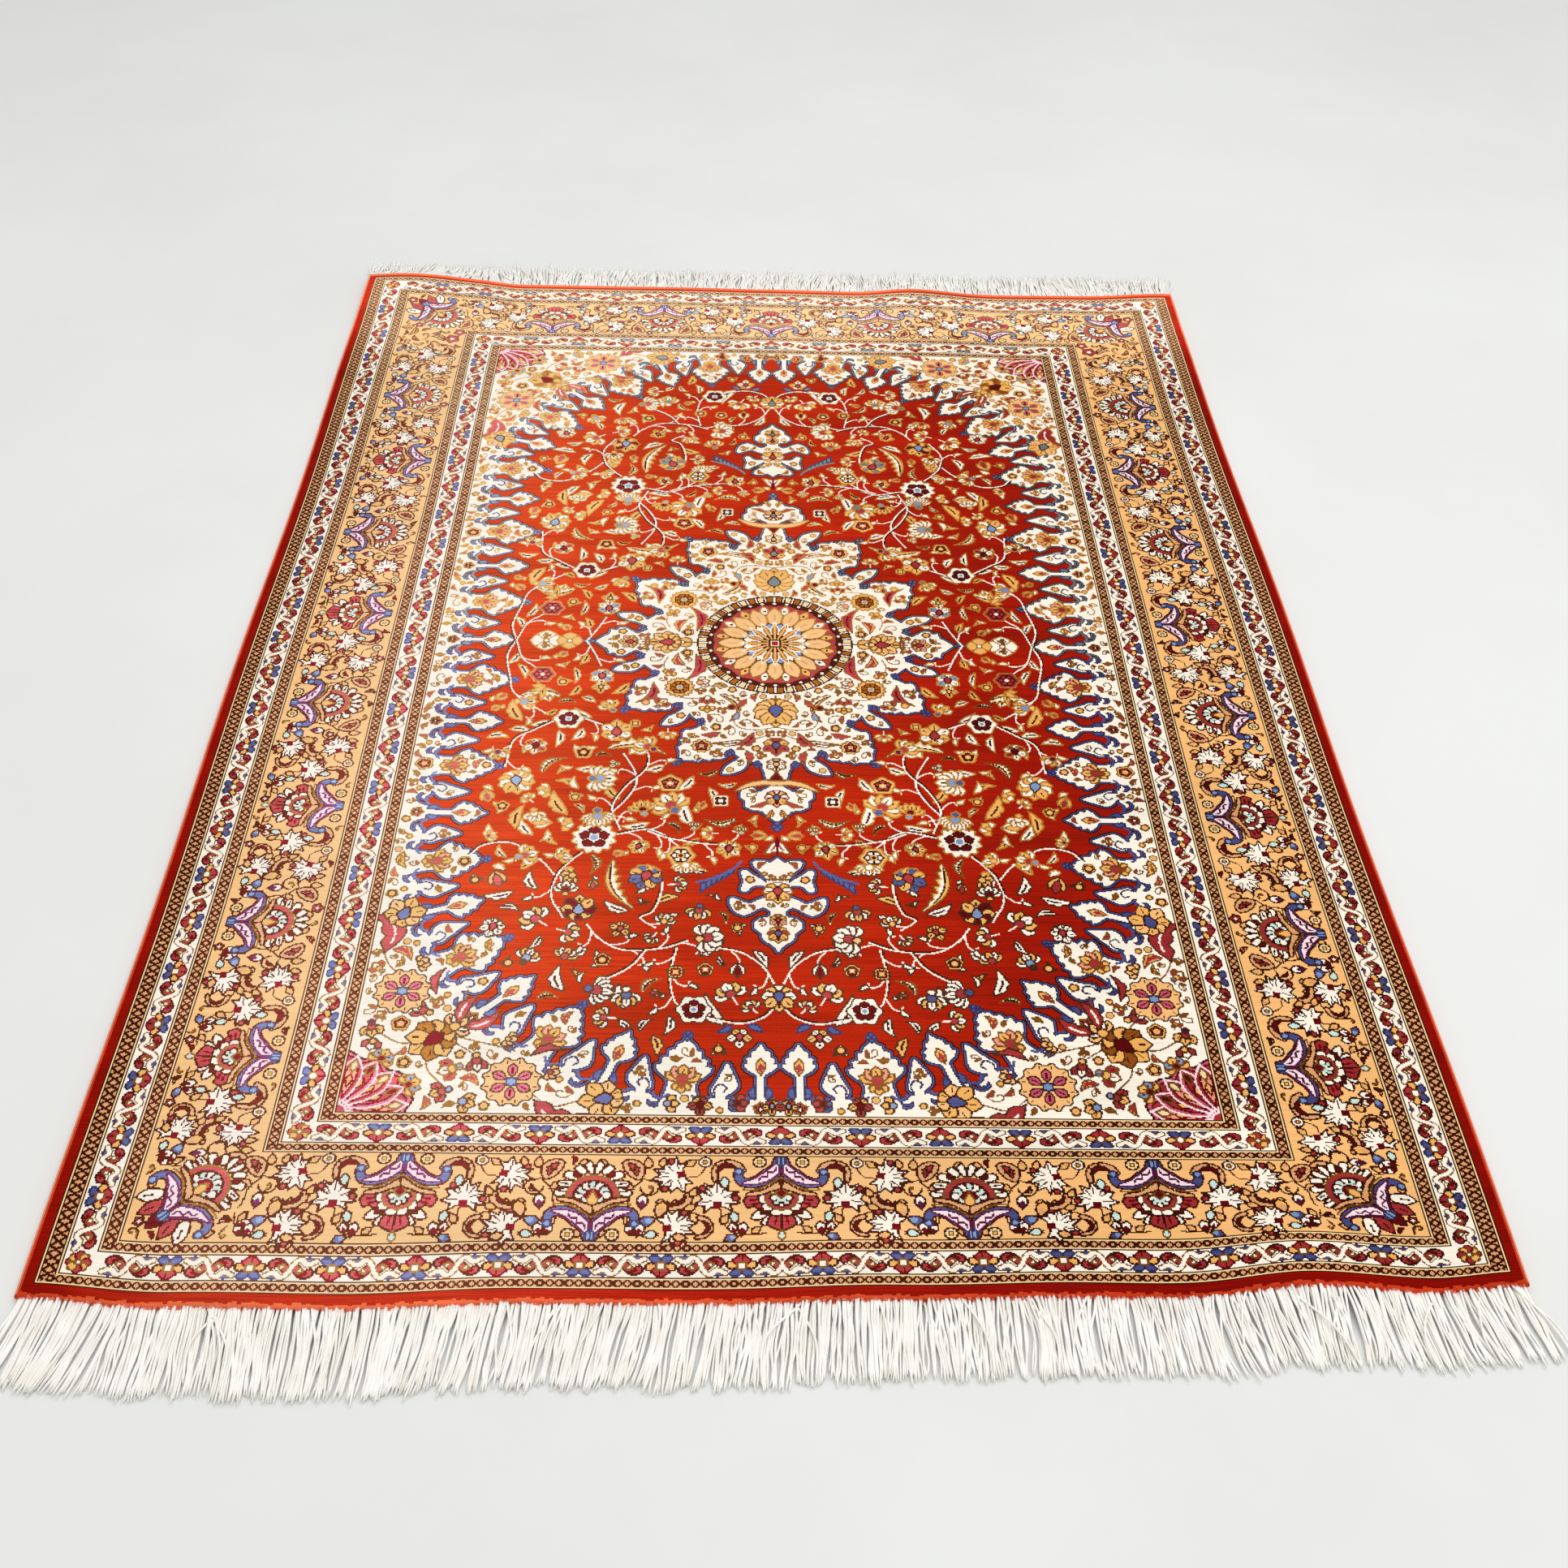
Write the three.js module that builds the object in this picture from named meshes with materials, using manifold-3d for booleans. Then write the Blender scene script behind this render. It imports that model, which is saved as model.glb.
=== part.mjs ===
// A hand-knotted silk rug lying flat on the floor: one sheet of pile, and at each
// end its loose warp threads, which leave the weave through a narrow strip and lie
// on the floor as a fringe.
// Millimetres, +Z up. The origin is the middle of the underside. +Y runs along the
// rug to its far end and +X runs across it to the right.

import * as THREE from 'three';
import { mergeVertices } from 'three/addons/utils/BufferGeometryUtils.js';
import Module from 'manifold-3d';

const wasm = await Module();
wasm.setup();

const RUG_WIDTH = 1000;
const RUG_LENGTH = 1400;
const RUG_THICK = 6;
const RIM_ROUND = 1.2;
const HALF_WIDTH = RUG_WIDTH / 2;
const HALF_LENGTH = RUG_LENGTH / 2;

// Cells of the sheet: even across, and closer together towards the two ends.
const CELLS_ACROSS = 32;
const CELLS_ALONG = 20;

// How far in from an end its unevenness fades out, and the slow wave of the sides.
const END_FADE = 260;
const SIDE_WAVE = 1.4;
const SIDE_WAVE_LENGTH = 610;

// The strip that the warp threads leave the weave through.
const STRIP_GAP = 0.3;
const STRIP_DEPTH = 3;
const STRIP_HEIGHT = 3;

// Fringe locks, each a small bundle of threads that narrows to its tip.
const LOCK_STEPS = 3;
const LOCK_SIDES = 3;
const LOCK_ROOT_WIDTH = 5;
const LOCK_TIP_WIDTH = 2.2;
const LOCK_ROOT_HEIGHT = 2.6;
const LOCK_TIP_HEIGHT = 1.2;
const LOCK_ROOT_LEVEL = 0.9;
const LOCK_ARCH = 1.2;
const LOCK_LANDING = 2 / 3;
const LOCK_MARGIN = 1;
const CORNER_SPLAY = 9;
const SPLAY_SHARPNESS = 8;
const WIDE_LEAN = 6;
const WIDE_LEAN_LENGTH = 230;
const CLOSE_LEAN = 1.6;
const CLOSE_LEAN_LENGTH = 95;
const TRIM_BEAT = 1.7;
const TRIM_SWELL = 0.43;

const ENDS = [
  { name: 'near', way: -1, locks: 125, leftReach: 61, rightReach: 53, uneven: 3.5, phase: 0.4 },
  { name: 'far', way: 1, locks: 125, leftReach: 46, rightReach: 54, uneven: 5, phase: 2.1 },
];

// Each end's edge wanders: out is how far it lies beyond the straight end line.
const EDGE_WANDER = {
  near: [
    { x: -500, out: 3 },
    { x: -400, out: 11 },
    { x: -290, out: 14 },
    { x: -170, out: 7 },
    { x: -40, out: 8 },
    { x: 80, out: 5 },
    { x: 190, out: 2 },
    { x: 270, out: 3 },
    { x: 355, out: -4 },
    { x: 430, out: -1 },
    { x: 500, out: -7 },
  ],
  far: [
    { x: -500, out: 18 },
    { x: -360, out: 12 },
    { x: -310, out: 7 },
    { x: -130, out: 6 },
    { x: 0, out: 3 },
    { x: 110, out: 0 },
    { x: 175, out: 4 },
    { x: 290, out: -4 },
    { x: 400, out: -3 },
    { x: 500, out: 0 },
  ],
};

// Soft ripples where an end doesn't lie quite flat.
const RIPPLES = [
  { end: 'near', x: -300, halfWidth: 150, height: 4, reach: 150 },
  { end: 'near', x: 40, halfWidth: 120, height: 2, reach: 110 },
  { end: 'near', x: 350, halfWidth: 110, height: 5, reach: 130 },
  { end: 'far', x: -440, halfWidth: 135, height: 9, reach: 130 },
  { end: 'far', x: 175, halfWidth: 80, height: 3, reach: 90 },
  { end: 'far', x: 480, halfWidth: 90, height: 3, reach: 90 },
];

const PILE_RED = 0xb52c12;
const WARP_WHITE = 0xf3eee2;

function smooth(t) {
  const s = THREE.MathUtils.clamp(t, 0, 1);
  return s * s * (3 - 2 * s);
}

function wander(endName, x) {
  const table = EDGE_WANDER[endName];
  const last = table.length - 1;
  const next = table.findIndex((row) => row.x >= x);
  if (next === 0) return table[0].out;
  if (next < 0) return table[last].out;
  const from = table[next - 1];
  const to = table[next];
  const along = (x - from.x) / (to.x - from.x);
  return THREE.MathUtils.lerp(from.out, to.out, smooth(along));
}

function distanceFromEnd(end, y) {
  return HALF_LENGTH - end.way * y;
}

function lift(x, y) {
  let height = 0;
  for (const ripple of RIPPLES) {
    const end = ENDS.find((one) => one.name === ripple.end);
    const across = smooth(1 - Math.abs(x - ripple.x) / ripple.halfWidth);
    const inward = smooth(1 - Math.max(distanceFromEnd(end, y), 0) / ripple.reach);
    height += ripple.height * across * inward;
  }
  return height;
}

// Takes a point of the straight, flat rug to where it really lies.
function lay(point) {
  const { x, y } = point;
  const sideShare = x / HALF_WIDTH;
  let laidY = y;
  for (const end of ENDS) {
    const share = smooth(1 - distanceFromEnd(end, y) / END_FADE);
    laidY += end.way * wander(end.name, x) * share;
  }
  const sideWave = SIDE_WAVE * Math.sin((2 * Math.PI * y) / SIDE_WAVE_LENGTH + sideShare);
  return new THREE.Vector3(x + sideWave * sideShare ** 2, laidY, point.z + lift(x, y));
}

function bare(geometry) {
  geometry.deleteAttribute('normal');
  geometry.deleteAttribute('uv');
  return mergeVertices(geometry);
}

function reshape(geometry, place) {
  const positions = geometry.attributes.position;
  const point = new THREE.Vector3();
  for (let i = 0; i < positions.count; i += 1) {
    point.fromBufferAttribute(positions, i);
    const moved = place(point);
    positions.setXYZ(i, moved.x, moved.y, moved.z);
  }
  return geometry;
}

function solid(geometry) {
  const mesh = new wasm.Mesh({
    numProp: 3,
    vertProperties: new Float32Array(geometry.attributes.position.array),
    triVerts: new Uint32Array(geometry.index.array),
  });
  return new wasm.Manifold(mesh);
}

function geometryOf(manifold) {
  const mesh = manifold.getMesh();
  const geometry = new THREE.BufferGeometry();
  geometry.setAttribute('position', new THREE.BufferAttribute(mesh.vertProperties, 3));
  geometry.setIndex(new THREE.BufferAttribute(mesh.triVerts, 1));
  return geometry;
}

function namedMesh(name, geometry, colour, roughness) {
  geometry.computeVertexNormals();
  const material = new THREE.MeshStandardMaterial({ color: colour, roughness, metalness: 0 });
  const mesh = new THREE.Mesh(geometry, material);
  mesh.name = name;
  return mesh;
}

// Spreads even steps along the rug so that they crowd towards both ends.
function crowded(y) {
  const fromEnd = 1 - Math.abs(y) / HALF_LENGTH;
  return Math.sign(y) * HALF_LENGTH * (1 - fromEnd ** 2);
}

function makeSheet() {
  const layers = 2;
  const box = bare(
    new THREE.BoxGeometry(RUG_WIDTH, RUG_LENGTH, RUG_THICK, CELLS_ACROSS, CELLS_ALONG, layers),
  );
  return reshape(box, (point) => {
    // The top and bottom edges draw in a little, so that the rim is rounded.
    const drawIn = point.z === 0 ? 0 : RIM_ROUND;
    const x = THREE.MathUtils.clamp(point.x, drawIn - HALF_WIDTH, HALF_WIDTH - drawIn);
    const y = THREE.MathUtils.clamp(crowded(point.y), drawIn - HALF_LENGTH, HALF_LENGTH - drawIn);
    return lay(new THREE.Vector3(x, y, point.z + RUG_THICK / 2));
  });
}

// The strip follows the rug's end edge, a hair's breadth off it.
function makeStrip(end) {
  const strip = bare(new THREE.BoxGeometry(RUG_WIDTH, STRIP_DEPTH, STRIP_HEIGHT, CELLS_ACROSS, 1, 1));
  return reshape(strip, (point) => {
    const y = end.way * (HALF_LENGTH + STRIP_GAP + STRIP_DEPTH / 2) + point.y;
    return lay(new THREE.Vector3(point.x, y, point.z + STRIP_HEIGHT / 2));
  });
}

function lean(end, x) {
  const wide = WIDE_LEAN * Math.sin((2 * Math.PI * x) / WIDE_LEAN_LENGTH + end.phase);
  const close = CLOSE_LEAN * Math.sin((2 * Math.PI * x) / CLOSE_LEAN_LENGTH + 2 * end.phase);
  const splay = CORNER_SPLAY * Math.sign(x) * Math.abs(x / HALF_WIDTH) ** SPLAY_SHARPNESS;
  return wide + close + splay;
}

// One lock: it leaves the middle of the strip, arches down and rests on the floor.
function makeLock(end, x, index) {
  const root = lay(new THREE.Vector3(x, end.way * (HALF_LENGTH + STRIP_GAP + STRIP_DEPTH / 2), 0));
  const share = (x + HALF_WIDTH) / RUG_WIDTH;
  const trim = end.uneven * Math.sin(index * TRIM_BEAT + end.phase) * Math.cos(index * TRIM_SWELL);
  const reach = THREE.MathUtils.lerp(end.leftReach, end.rightReach, share) + trim;
  const sideways = lean(end, x);
  const prism = bare(new THREE.CylinderGeometry(1, 1, 1, LOCK_SIDES, LOCK_STEPS));
  // The prism stands on Y with its root end up, and one flat side faces the floor.
  const lowest = -Math.cos(Math.PI / LOCK_SIDES);
  const halfSide = Math.sin(Math.PI / LOCK_SIDES);
  return reshape(prism, (point) => {
    const along = 0.5 - point.y;
    const width = THREE.MathUtils.lerp(LOCK_ROOT_WIDTH, LOCK_TIP_WIDTH, along);
    const tall = THREE.MathUtils.lerp(LOCK_ROOT_HEIGHT, LOCK_TIP_HEIGHT, along);
    const fall = smooth(1 - along / LOCK_LANDING);
    const base = (root.z + LOCK_ROOT_LEVEL) * fall + LOCK_ARCH * Math.sin(Math.PI * fall);
    const across = (-end.way * point.x * width) / (2 * halfSide);
    const up = ((point.z - lowest) / (1 - lowest)) * tall;
    return new THREE.Vector3(
      root.x + sideways * along + across,
      root.y + end.way * reach * along,
      base + up,
    );
  });
}

function makeFringe(end) {
  const pitch = (RUG_WIDTH - LOCK_ROOT_WIDTH - 2 * LOCK_MARGIN) / (end.locks - 1);
  const first = -(pitch * (end.locks - 1)) / 2;
  const pieces = [solid(makeStrip(end))];
  for (let i = 0; i < end.locks; i += 1) {
    pieces.push(solid(makeLock(end, first + i * pitch, i)));
  }
  return geometryOf(wasm.Manifold.union(pieces));
}

const rug = new THREE.Group();
rug.add(namedMesh('rug', makeSheet(), PILE_RED, 0.6));
for (const end of ENDS) {
  rug.add(namedMesh(`fringe_${end.name}`, makeFringe(end), WARP_WHITE, 0.75));
}

export default rug;
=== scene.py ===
# %% [markdown]
# # A hand-knotted silk rug
# The rug is one knotted sheet with a loose fringe of warp threads at each end. It lies flat
# on a pale floor. All of its looks come from three things: the pattern, which a weaver reads
# off a chart knot by knot, the sheen of cut silk, and the threads of the fringe.
# The imported CAD model is the frame.

# %% Frame
import math

import bmesh
import bpy
import numpy as np
from mathutils import Matrix, Vector


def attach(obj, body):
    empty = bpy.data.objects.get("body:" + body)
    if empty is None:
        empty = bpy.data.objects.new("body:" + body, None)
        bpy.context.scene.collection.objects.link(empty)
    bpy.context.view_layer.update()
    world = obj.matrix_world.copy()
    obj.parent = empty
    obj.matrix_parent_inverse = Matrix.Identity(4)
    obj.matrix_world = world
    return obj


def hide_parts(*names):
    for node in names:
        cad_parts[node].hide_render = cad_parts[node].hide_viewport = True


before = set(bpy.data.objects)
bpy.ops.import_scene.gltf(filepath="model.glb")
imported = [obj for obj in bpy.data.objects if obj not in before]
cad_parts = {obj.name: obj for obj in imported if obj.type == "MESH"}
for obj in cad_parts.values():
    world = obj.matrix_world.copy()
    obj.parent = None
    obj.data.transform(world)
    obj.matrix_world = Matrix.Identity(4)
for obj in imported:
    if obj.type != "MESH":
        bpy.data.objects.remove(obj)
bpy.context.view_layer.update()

MM = 0.001
scene = bpy.context.scene

# %% [markdown]
# ## Camera
# The photo looks down along the rug from its near end. Straight lines of the pattern give
# the lens and the place, so both are set as numbers rather than aimed by eye. A camera
# looks along its own -Z, so its matrix holds the directions right, up and back as columns.

# %% Camera
CAMERA_PLACE = (-0.0270, -1.3213, 1.0352)
CAMERA_RIGHT = (0.99973, -0.01114, 0.02042)
CAMERA_UP = (-0.00745, 0.67837, 0.73468)
CAMERA_BACK = (-0.02203, -0.73464, 0.67810)
PHOTO_PIXELS = 1932
FOCAL_PIXELS = 2160.0
SENSOR_MM = 36.0

lens = bpy.data.cameras.new("camera")
lens.sensor_fit = "HORIZONTAL"
lens.sensor_width = SENSOR_MM
lens.lens = SENSOR_MM * FOCAL_PIXELS / PHOTO_PIXELS
camera = bpy.data.objects.new("camera", lens)
scene.collection.objects.link(camera)
turn = Matrix((CAMERA_RIGHT, CAMERA_UP, CAMERA_BACK)).transposed()
camera.matrix_world = Matrix.Translation(CAMERA_PLACE) @ turn.to_4x4()
scene.camera = camera
print("lens of", round(lens.lens, 2), "mm")

# %% [markdown]
# ## Floor and light
# A bright studio with a pale floor. The world gives even light from all sides, one large
# soft panel hangs over the rug, and a second stands on the right, where the floor looks
# brighter in the photo. Standard view colours keep the reds as strong as they are there.

# %% Floor
FLOOR_SIZE = 12.0
FLOOR_DROP = 0.0006
FLOOR_TINTS = [(0.32, (0.765, 0.765, 0.74)), (0.62, (0.80, 0.805, 0.785))]


def new_material(name):
    material = bpy.data.materials.new(name)
    material.use_nodes = True
    return material, material.node_tree, material.node_tree.nodes["Principled BSDF"]


def add_node(tree, kind, **settings):
    """Adds a node. A setting is a property of the node, or else one of its inputs."""
    node = tree.nodes.new(kind)
    for name, value in settings.items():
        if hasattr(node, name):
            setattr(node, name, value)
            continue
        socket = node.inputs[int(name[1:])] if name[0] == "i" and name[1:].isdigit() else node.inputs[name]
        if isinstance(value, bpy.types.NodeSocket):
            tree.links.new(value, socket)
        else:
            socket.default_value = value
    return node


def set_stops(ramp, stops):
    """Gives a colour ramp its stops, each a position and a colour."""
    elements = ramp.color_ramp.elements
    for number, (position, colour) in enumerate(stops):
        stop = elements[number] if number < 2 else elements.new(position)
        stop.position = position
        stop.color = (*colour, 1)


floor_material, tree, shader = new_material("pale floor")
where = add_node(tree, "ShaderNodeTexCoord").outputs["Object"]
mottle = add_node(tree, "ShaderNodeTexNoise", Vector=where, Scale=2.2, Detail=7.0, Roughness=0.62)
tint = add_node(tree, "ShaderNodeValToRGB", Fac=mottle.outputs["Fac"])
set_stops(tint, FLOOR_TINTS)
tree.links.new(tint.outputs["Color"], shader.inputs["Base Color"])
shader.inputs["Roughness"].default_value = 0.8
shader.inputs["Specular IOR Level"].default_value = 0.25

bm = bmesh.new()
bmesh.ops.create_grid(bm, x_segments=1, y_segments=1, size=FLOOR_SIZE / 2)
bmesh.ops.translate(bm, verts=bm.verts, vec=(0, 0, -FLOOR_DROP))
floor_mesh = bpy.data.meshes.new("floor")
bm.to_mesh(floor_mesh)
bm.free()
floor = bpy.data.objects.new("floor", floor_mesh)
floor_mesh.materials.append(floor_material)
scene.collection.objects.link(floor)
print("floor", FLOOR_SIZE, "m wide")

# %% Light
WORLD_STRENGTH = 0.64
PANELS = [
    # name, place, size in metres, watts
    ("panel over the rug", (0.6, 0.0, 3.2), 3.4, 64.0),
    ("panel on the right", (2.6, -2.0, 2.0), 2.2, 5.0),
]

world = bpy.data.worlds.new("studio")
scene.world = world
world.use_nodes = True
backdrop = world.node_tree.nodes["Background"]
backdrop.inputs["Color"].default_value = (0.98, 0.99, 1.0, 1)
backdrop.inputs["Strength"].default_value = WORLD_STRENGTH
for name, at, size, watts in PANELS:
    panel = bpy.data.lights.new(name, "AREA")
    panel.size = size
    panel.energy = watts
    lamp = bpy.data.objects.new(name, panel)
    scene.collection.objects.link(lamp)
    lamp.location = at
    lamp.rotation_euler = (-Vector(at)).to_track_quat("-Z", "Y").to_euler()
scene.view_settings.view_transform = "Standard"
scene.view_settings.look = "None"
print(len(PANELS), "soft panels")

# %% [markdown]
# ## Yarns
# Silk is dyed before it is knotted, so a rug holds only as many colours as there were lots
# of yarn, here two dozen. They could be two dozen materials, but then every knot would need
# faces of its own. Each yarn gets a number instead, and the pattern is kept as numbers until
# a single shader turns them back into colours. The values are linear, as sockets take them.

# %% Yarns
YARNS = {
    "edge red": (0.344, 0.0065, 0.0014),
    "field red": (0.44, 0.015, 0.002),
    "ivory": (0.91, 0.84, 0.72),
    "tan": (0.88, 0.53, 0.235),
    "pink tan": (0.74, 0.40, 0.20),
    "brown": (0.062, 0.009, 0.003),
    "gold": (0.23, 0.088, 0.014),
    "amber": (0.84, 0.47, 0.15),
    "blue": (0.090, 0.105, 0.270),
    "pale blue": (0.26, 0.35, 0.56),
    "rose": (0.45, 0.042, 0.045),
    "wine": (0.15, 0.004, 0.006),
    "aqua": (0.60, 0.74, 0.66),
    "blush": (0.90, 0.74, 0.76),
    "plum": (0.13, 0.012, 0.055),
    "rust": (0.36, 0.105, 0.012),
    "navy": (0.045, 0.035, 0.10),
    "salmon": (0.86, 0.36, 0.25),
    "rim red": (0.74, 0.085, 0.022),
    "cream": (0.85, 0.68, 0.39),
    "umber": (0.085, 0.029, 0.011),
    "pink": (0.66, 0.13, 0.19),
    "slate": (0.20, 0.225, 0.235),
    "honey": (0.50, 0.24, 0.045),
}
NUMBER = {name: number for number, name in enumerate(YARNS)}
print(len(YARNS), "yarns, from", list(YARNS)[0], "to", list(YARNS)[-1])

# %% [markdown]
# ## The weaver's chart
# A rug is woven from a chart on squared paper, one square to a knot, which is read off row
# by row. An image texture could take its place, but this pattern is drawn by the script, in
# the way a designer draws it: outlines are filled and lines are laid on squares. The chart
# is an array of yarn numbers with a millimetre to a knot, so every size below is a size on
# the rug. Later shapes cover earlier ones, as with cut paper.

# %% Chart
class Chart:
    """Squared paper that holds the yarn number of each knot."""

    def __init__(self, across, along, ground):
        self.low = np.array([across[0], along[0]], float)
        shape = (along[1] - along[0], across[1] - across[0])
        self.knots = np.full(shape, NUMBER[ground], np.uint8)

    def window(self, points, margin):
        """The knots round some points, and where their middles lie."""
        size = self.knots.shape[::-1]
        c0, r0 = np.clip(np.floor(points.min(axis=0) - self.low - margin), 0, size).astype(int)
        c1, r1 = np.clip(np.ceil(points.max(axis=0) - self.low + margin), 0, size).astype(int)
        x = np.arange(c0, c1)[None, :] + self.low[0] + 0.5
        y = np.arange(r0, r1)[:, None] + self.low[1] + 0.5
        return self.knots[r0:r1, c0:c1], x, y

    def count(self, yarn):
        return int((self.knots == NUMBER[yarn]).sum())

    def fill(self, outline, yarn):
        """Fills an outline: a line from a knot inside it crosses it an odd number of times."""
        knots, x, y = self.window(outline, 0)
        inside = np.zeros(knots.shape, bool)
        for (x0, y0), (x1, y1) in zip(outline, np.roll(outline, -1, axis=0)):
            if y0 != y1:
                crossed = (y0 > y) != (y1 > y)
                inside ^= crossed & (x < (x1 - x0) * (y - y0) / (y1 - y0) + x0)
        knots[inside] = NUMBER[yarn]

    def line(self, path, yarn, width=1.4, closed=False):
        """Lays a line of yarn along a path."""
        ends = np.roll(path, -1, axis=0) if closed else path[1:]
        for start, end in zip(path, ends):
            knots, x, y = self.window(np.array([start, end]), width)
            run = end - start
            length = max(float(run @ run), 1e-9)
            share = np.clip(((x - start[0]) * run[0] + (y - start[1]) * run[1]) / length, 0, 1)
            off = (x - start[0] - share * run[0]) ** 2 + (y - start[1] - share * run[1]) ** 2
            knots[off <= (width / 2) ** 2] = NUMBER[yarn]

    def shape(self, outline, body, edge=None, width=1.5):
        """A filled outline, with a line of another yarn round it if asked."""
        self.fill(outline, body)
        if edge:
            self.line(outline, edge, width, closed=True)

    def draw(self, parts, at, turn=0.0, size=1.0, flip=False, mirror=False):
        """Draws a motif from its list of shapes, and their mirror images as well if asked."""
        for body, edge, points in parts:
            for flipped in ((flip, not flip) if mirror else (flip,)):
                path = place(curve(points, bool(body), 3), at, turn, size, flipped)
                if body:
                    self.shape(path, body, edge)
                else:
                    self.line(path, edge)


print("knots on a chart of 30 by 20 mm:", Chart((0, 30), (0, 20), "tan").count("tan"))


# %% Curves
def curve(points, closed=False, steps=5):
    """A smooth line through a few points."""
    points = np.asarray(points, float)
    if closed:
        padded = np.vstack([points[-1], points, points[:2]])
    else:
        padded = np.vstack([2 * points[0] - points[1], points, 2 * points[-1] - points[-2]])
    share = np.linspace(0, 1, steps, endpoint=False)[:, None]
    runs = []
    for a, b, c, d in zip(padded, padded[1:], padded[2:], padded[3:]):
        runs.append(b + share * ((c - a) / 2 + share * (
            a - 2.5 * b + 2 * c - d / 2 + share * ((d - a) / 2 + 1.5 * (b - c)))))
    if not closed:
        runs.append(points[-1:])
    return np.vstack(runs)


def place(points, at, turn=0.0, size=1.0, flip=False):
    """Takes a motif's own points to a place on the chart, turned by degrees."""
    points = np.asarray(points, float) * size
    if flip:
        points = points * (1, -1)
    angle = math.radians(turn)
    cos, sin = math.cos(angle), math.sin(angle)
    return points @ np.array([[cos, sin], [-sin, cos]]) + at


def beside(at, turn, ahead, aside=0.0):
    """A single point some way ahead of a place, and to one side of it."""
    return place([(ahead, aside)], at, turn)[0]


def both_sides(one_side):
    """Closes an outline whose one side runs along +x from its foot to its tip."""
    one_side = np.asarray(one_side, float)
    return np.vstack([one_side, (one_side * (1, -1))[::-1]])


def ring(radius, lobes=0, depth=0.0, steps=40):
    """A circle, or a scalloped disc if it has lobes."""
    angle = np.linspace(0, 2 * math.pi, steps, endpoint=False)
    reach = radius * (1 - depth * (0.5 + 0.5 * np.cos(lobes * angle)))
    return np.stack([reach * np.cos(angle), reach * np.sin(angle)], 1)


print("a smooth line through 3 points has", len(curve([(0, 0), (9, 4), (18, 0)])), "points")

# %% [markdown]
# ## Flowers and leaves
# Persian patterns are made of few forms, repeated in many sizes and colours: dots, leaves,
# sickle-shaped feathers, petals, flowers seen from the side or from above, buds, and
# vines. Each is a small function that takes its place, direction and size, so that tables
# of a few numbers can say where the hundreds of them stand. None is traced.

# %% Dots, leaves and petals
def dot(chart, at, radius, body, edge=None):
    chart.shape(ring(radius, steps=14) + at, body, edge)


def stroke(chart, at, turn, start, end, yarn, width=1.4):
    """A straight line that points away from a place."""
    chart.line(place([(start, 0), (end, 0)], at, turn), yarn, width)


def leaf(chart, at, turn, length, width, body, vein=None, bend=0.12, edge="gold"):
    """A pointed leaf that bends to one side, with a notched edge, and a vein if asked."""
    share = np.linspace(0, 1, 11)
    spine = np.stack([length * share, bend * length * np.sin(math.pi * share)], 1)
    wide = width / 2 * np.sin(math.pi * share ** 0.8)
    notched = wide * np.where(np.arange(11) % 3 == 1, 0.72, 1.08)
    upper = spine + np.stack([0 * wide, notched], 1)
    lower = spine - np.stack([0 * wide, 0.9 * wide], 1)
    chart.shape(place(np.vstack([upper, lower[::-1]]), at, turn), body, edge)
    if vein:
        chart.line(place(spine[2:7], at, turn), vein, 1.8)


def feather(chart, at, turn, length, width, bend):
    """A long serrated leaf with a dark spine, curved like a sickle."""
    share = np.linspace(0, 1, 15)
    spine = np.stack([length * share, bend * length * np.sin(math.pi * share)], 1)
    wide = width / 2 * np.sin(math.pi * share ** 0.75)
    saw = np.where(np.arange(15) % 2 == 1, 1.25, 0.62)
    outer = spine + np.stack([-1.5 * (saw > 1), wide * saw], 1)
    inner = spine - np.stack([0 * wide, wide * 0.55], 1)
    chart.shape(place(np.vstack([outer, inner[::-1]]), at, turn), "amber", "gold")
    chart.fill(place(np.vstack([spine, (spine + (outer - spine) * 0.55)[::-1]]), at, turn), "ivory")
    chart.line(place(spine[1:12], at, turn), "brown")
    for knot in (4, 6, 8):
        dot(chart, beside(at, turn, *spine[knot]), 1.3, "brown")


def petal(chart, at, turn, near, far, width, body, edge="gold"):
    """One pointed petal, between two distances from the flower's middle."""
    length = far - near
    side = [(near, 0.0), (near + 0.3 * length, 0.38 * width), (near + 0.66 * length, 0.5 * width),
            (near + 0.9 * length, 0.2 * width), (far, 0.0)]
    chart.shape(place(curve(both_sides(side), True, 3), at, turn), body, edge)


forms = (dot, stroke, leaf, feather, petal)
print("small forms:", ", ".join(form.__name__ for form in forms))


# %% Flowers, buds and vines
def fan(chart, at, turn, radius, petals, spread, body, other, heart, base=None, edge="gold"):
    """A half-open lotus seen from the side, its petals spread about one direction."""
    width = 1.25 * radius * math.radians(spread) / petals
    angles = np.linspace(-spread / 2, spread / 2, petals)
    for i in sorted(range(petals), key=lambda i: -abs(angles[i])):
        colour = other if other and i % 2 else body
        reach = radius * (0.86 + 0.14 * math.cos(math.radians(angles[i])))
        petal(chart, at, turn + angles[i], 0.15 * radius, reach, width, colour, edge)
        if radius > 11:
            stroke(chart, at, turn + angles[i], 0.5 * radius, 0.72 * radius, "brown", 1.0)
    dot(chart, beside(at, turn, 0.22 * radius), 0.26 * radius, heart, edge)
    if base:
        petal(chart, at, turn + 180, -0.1 * radius, 0.34 * radius, 0.42 * radius, base, edge)


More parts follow.
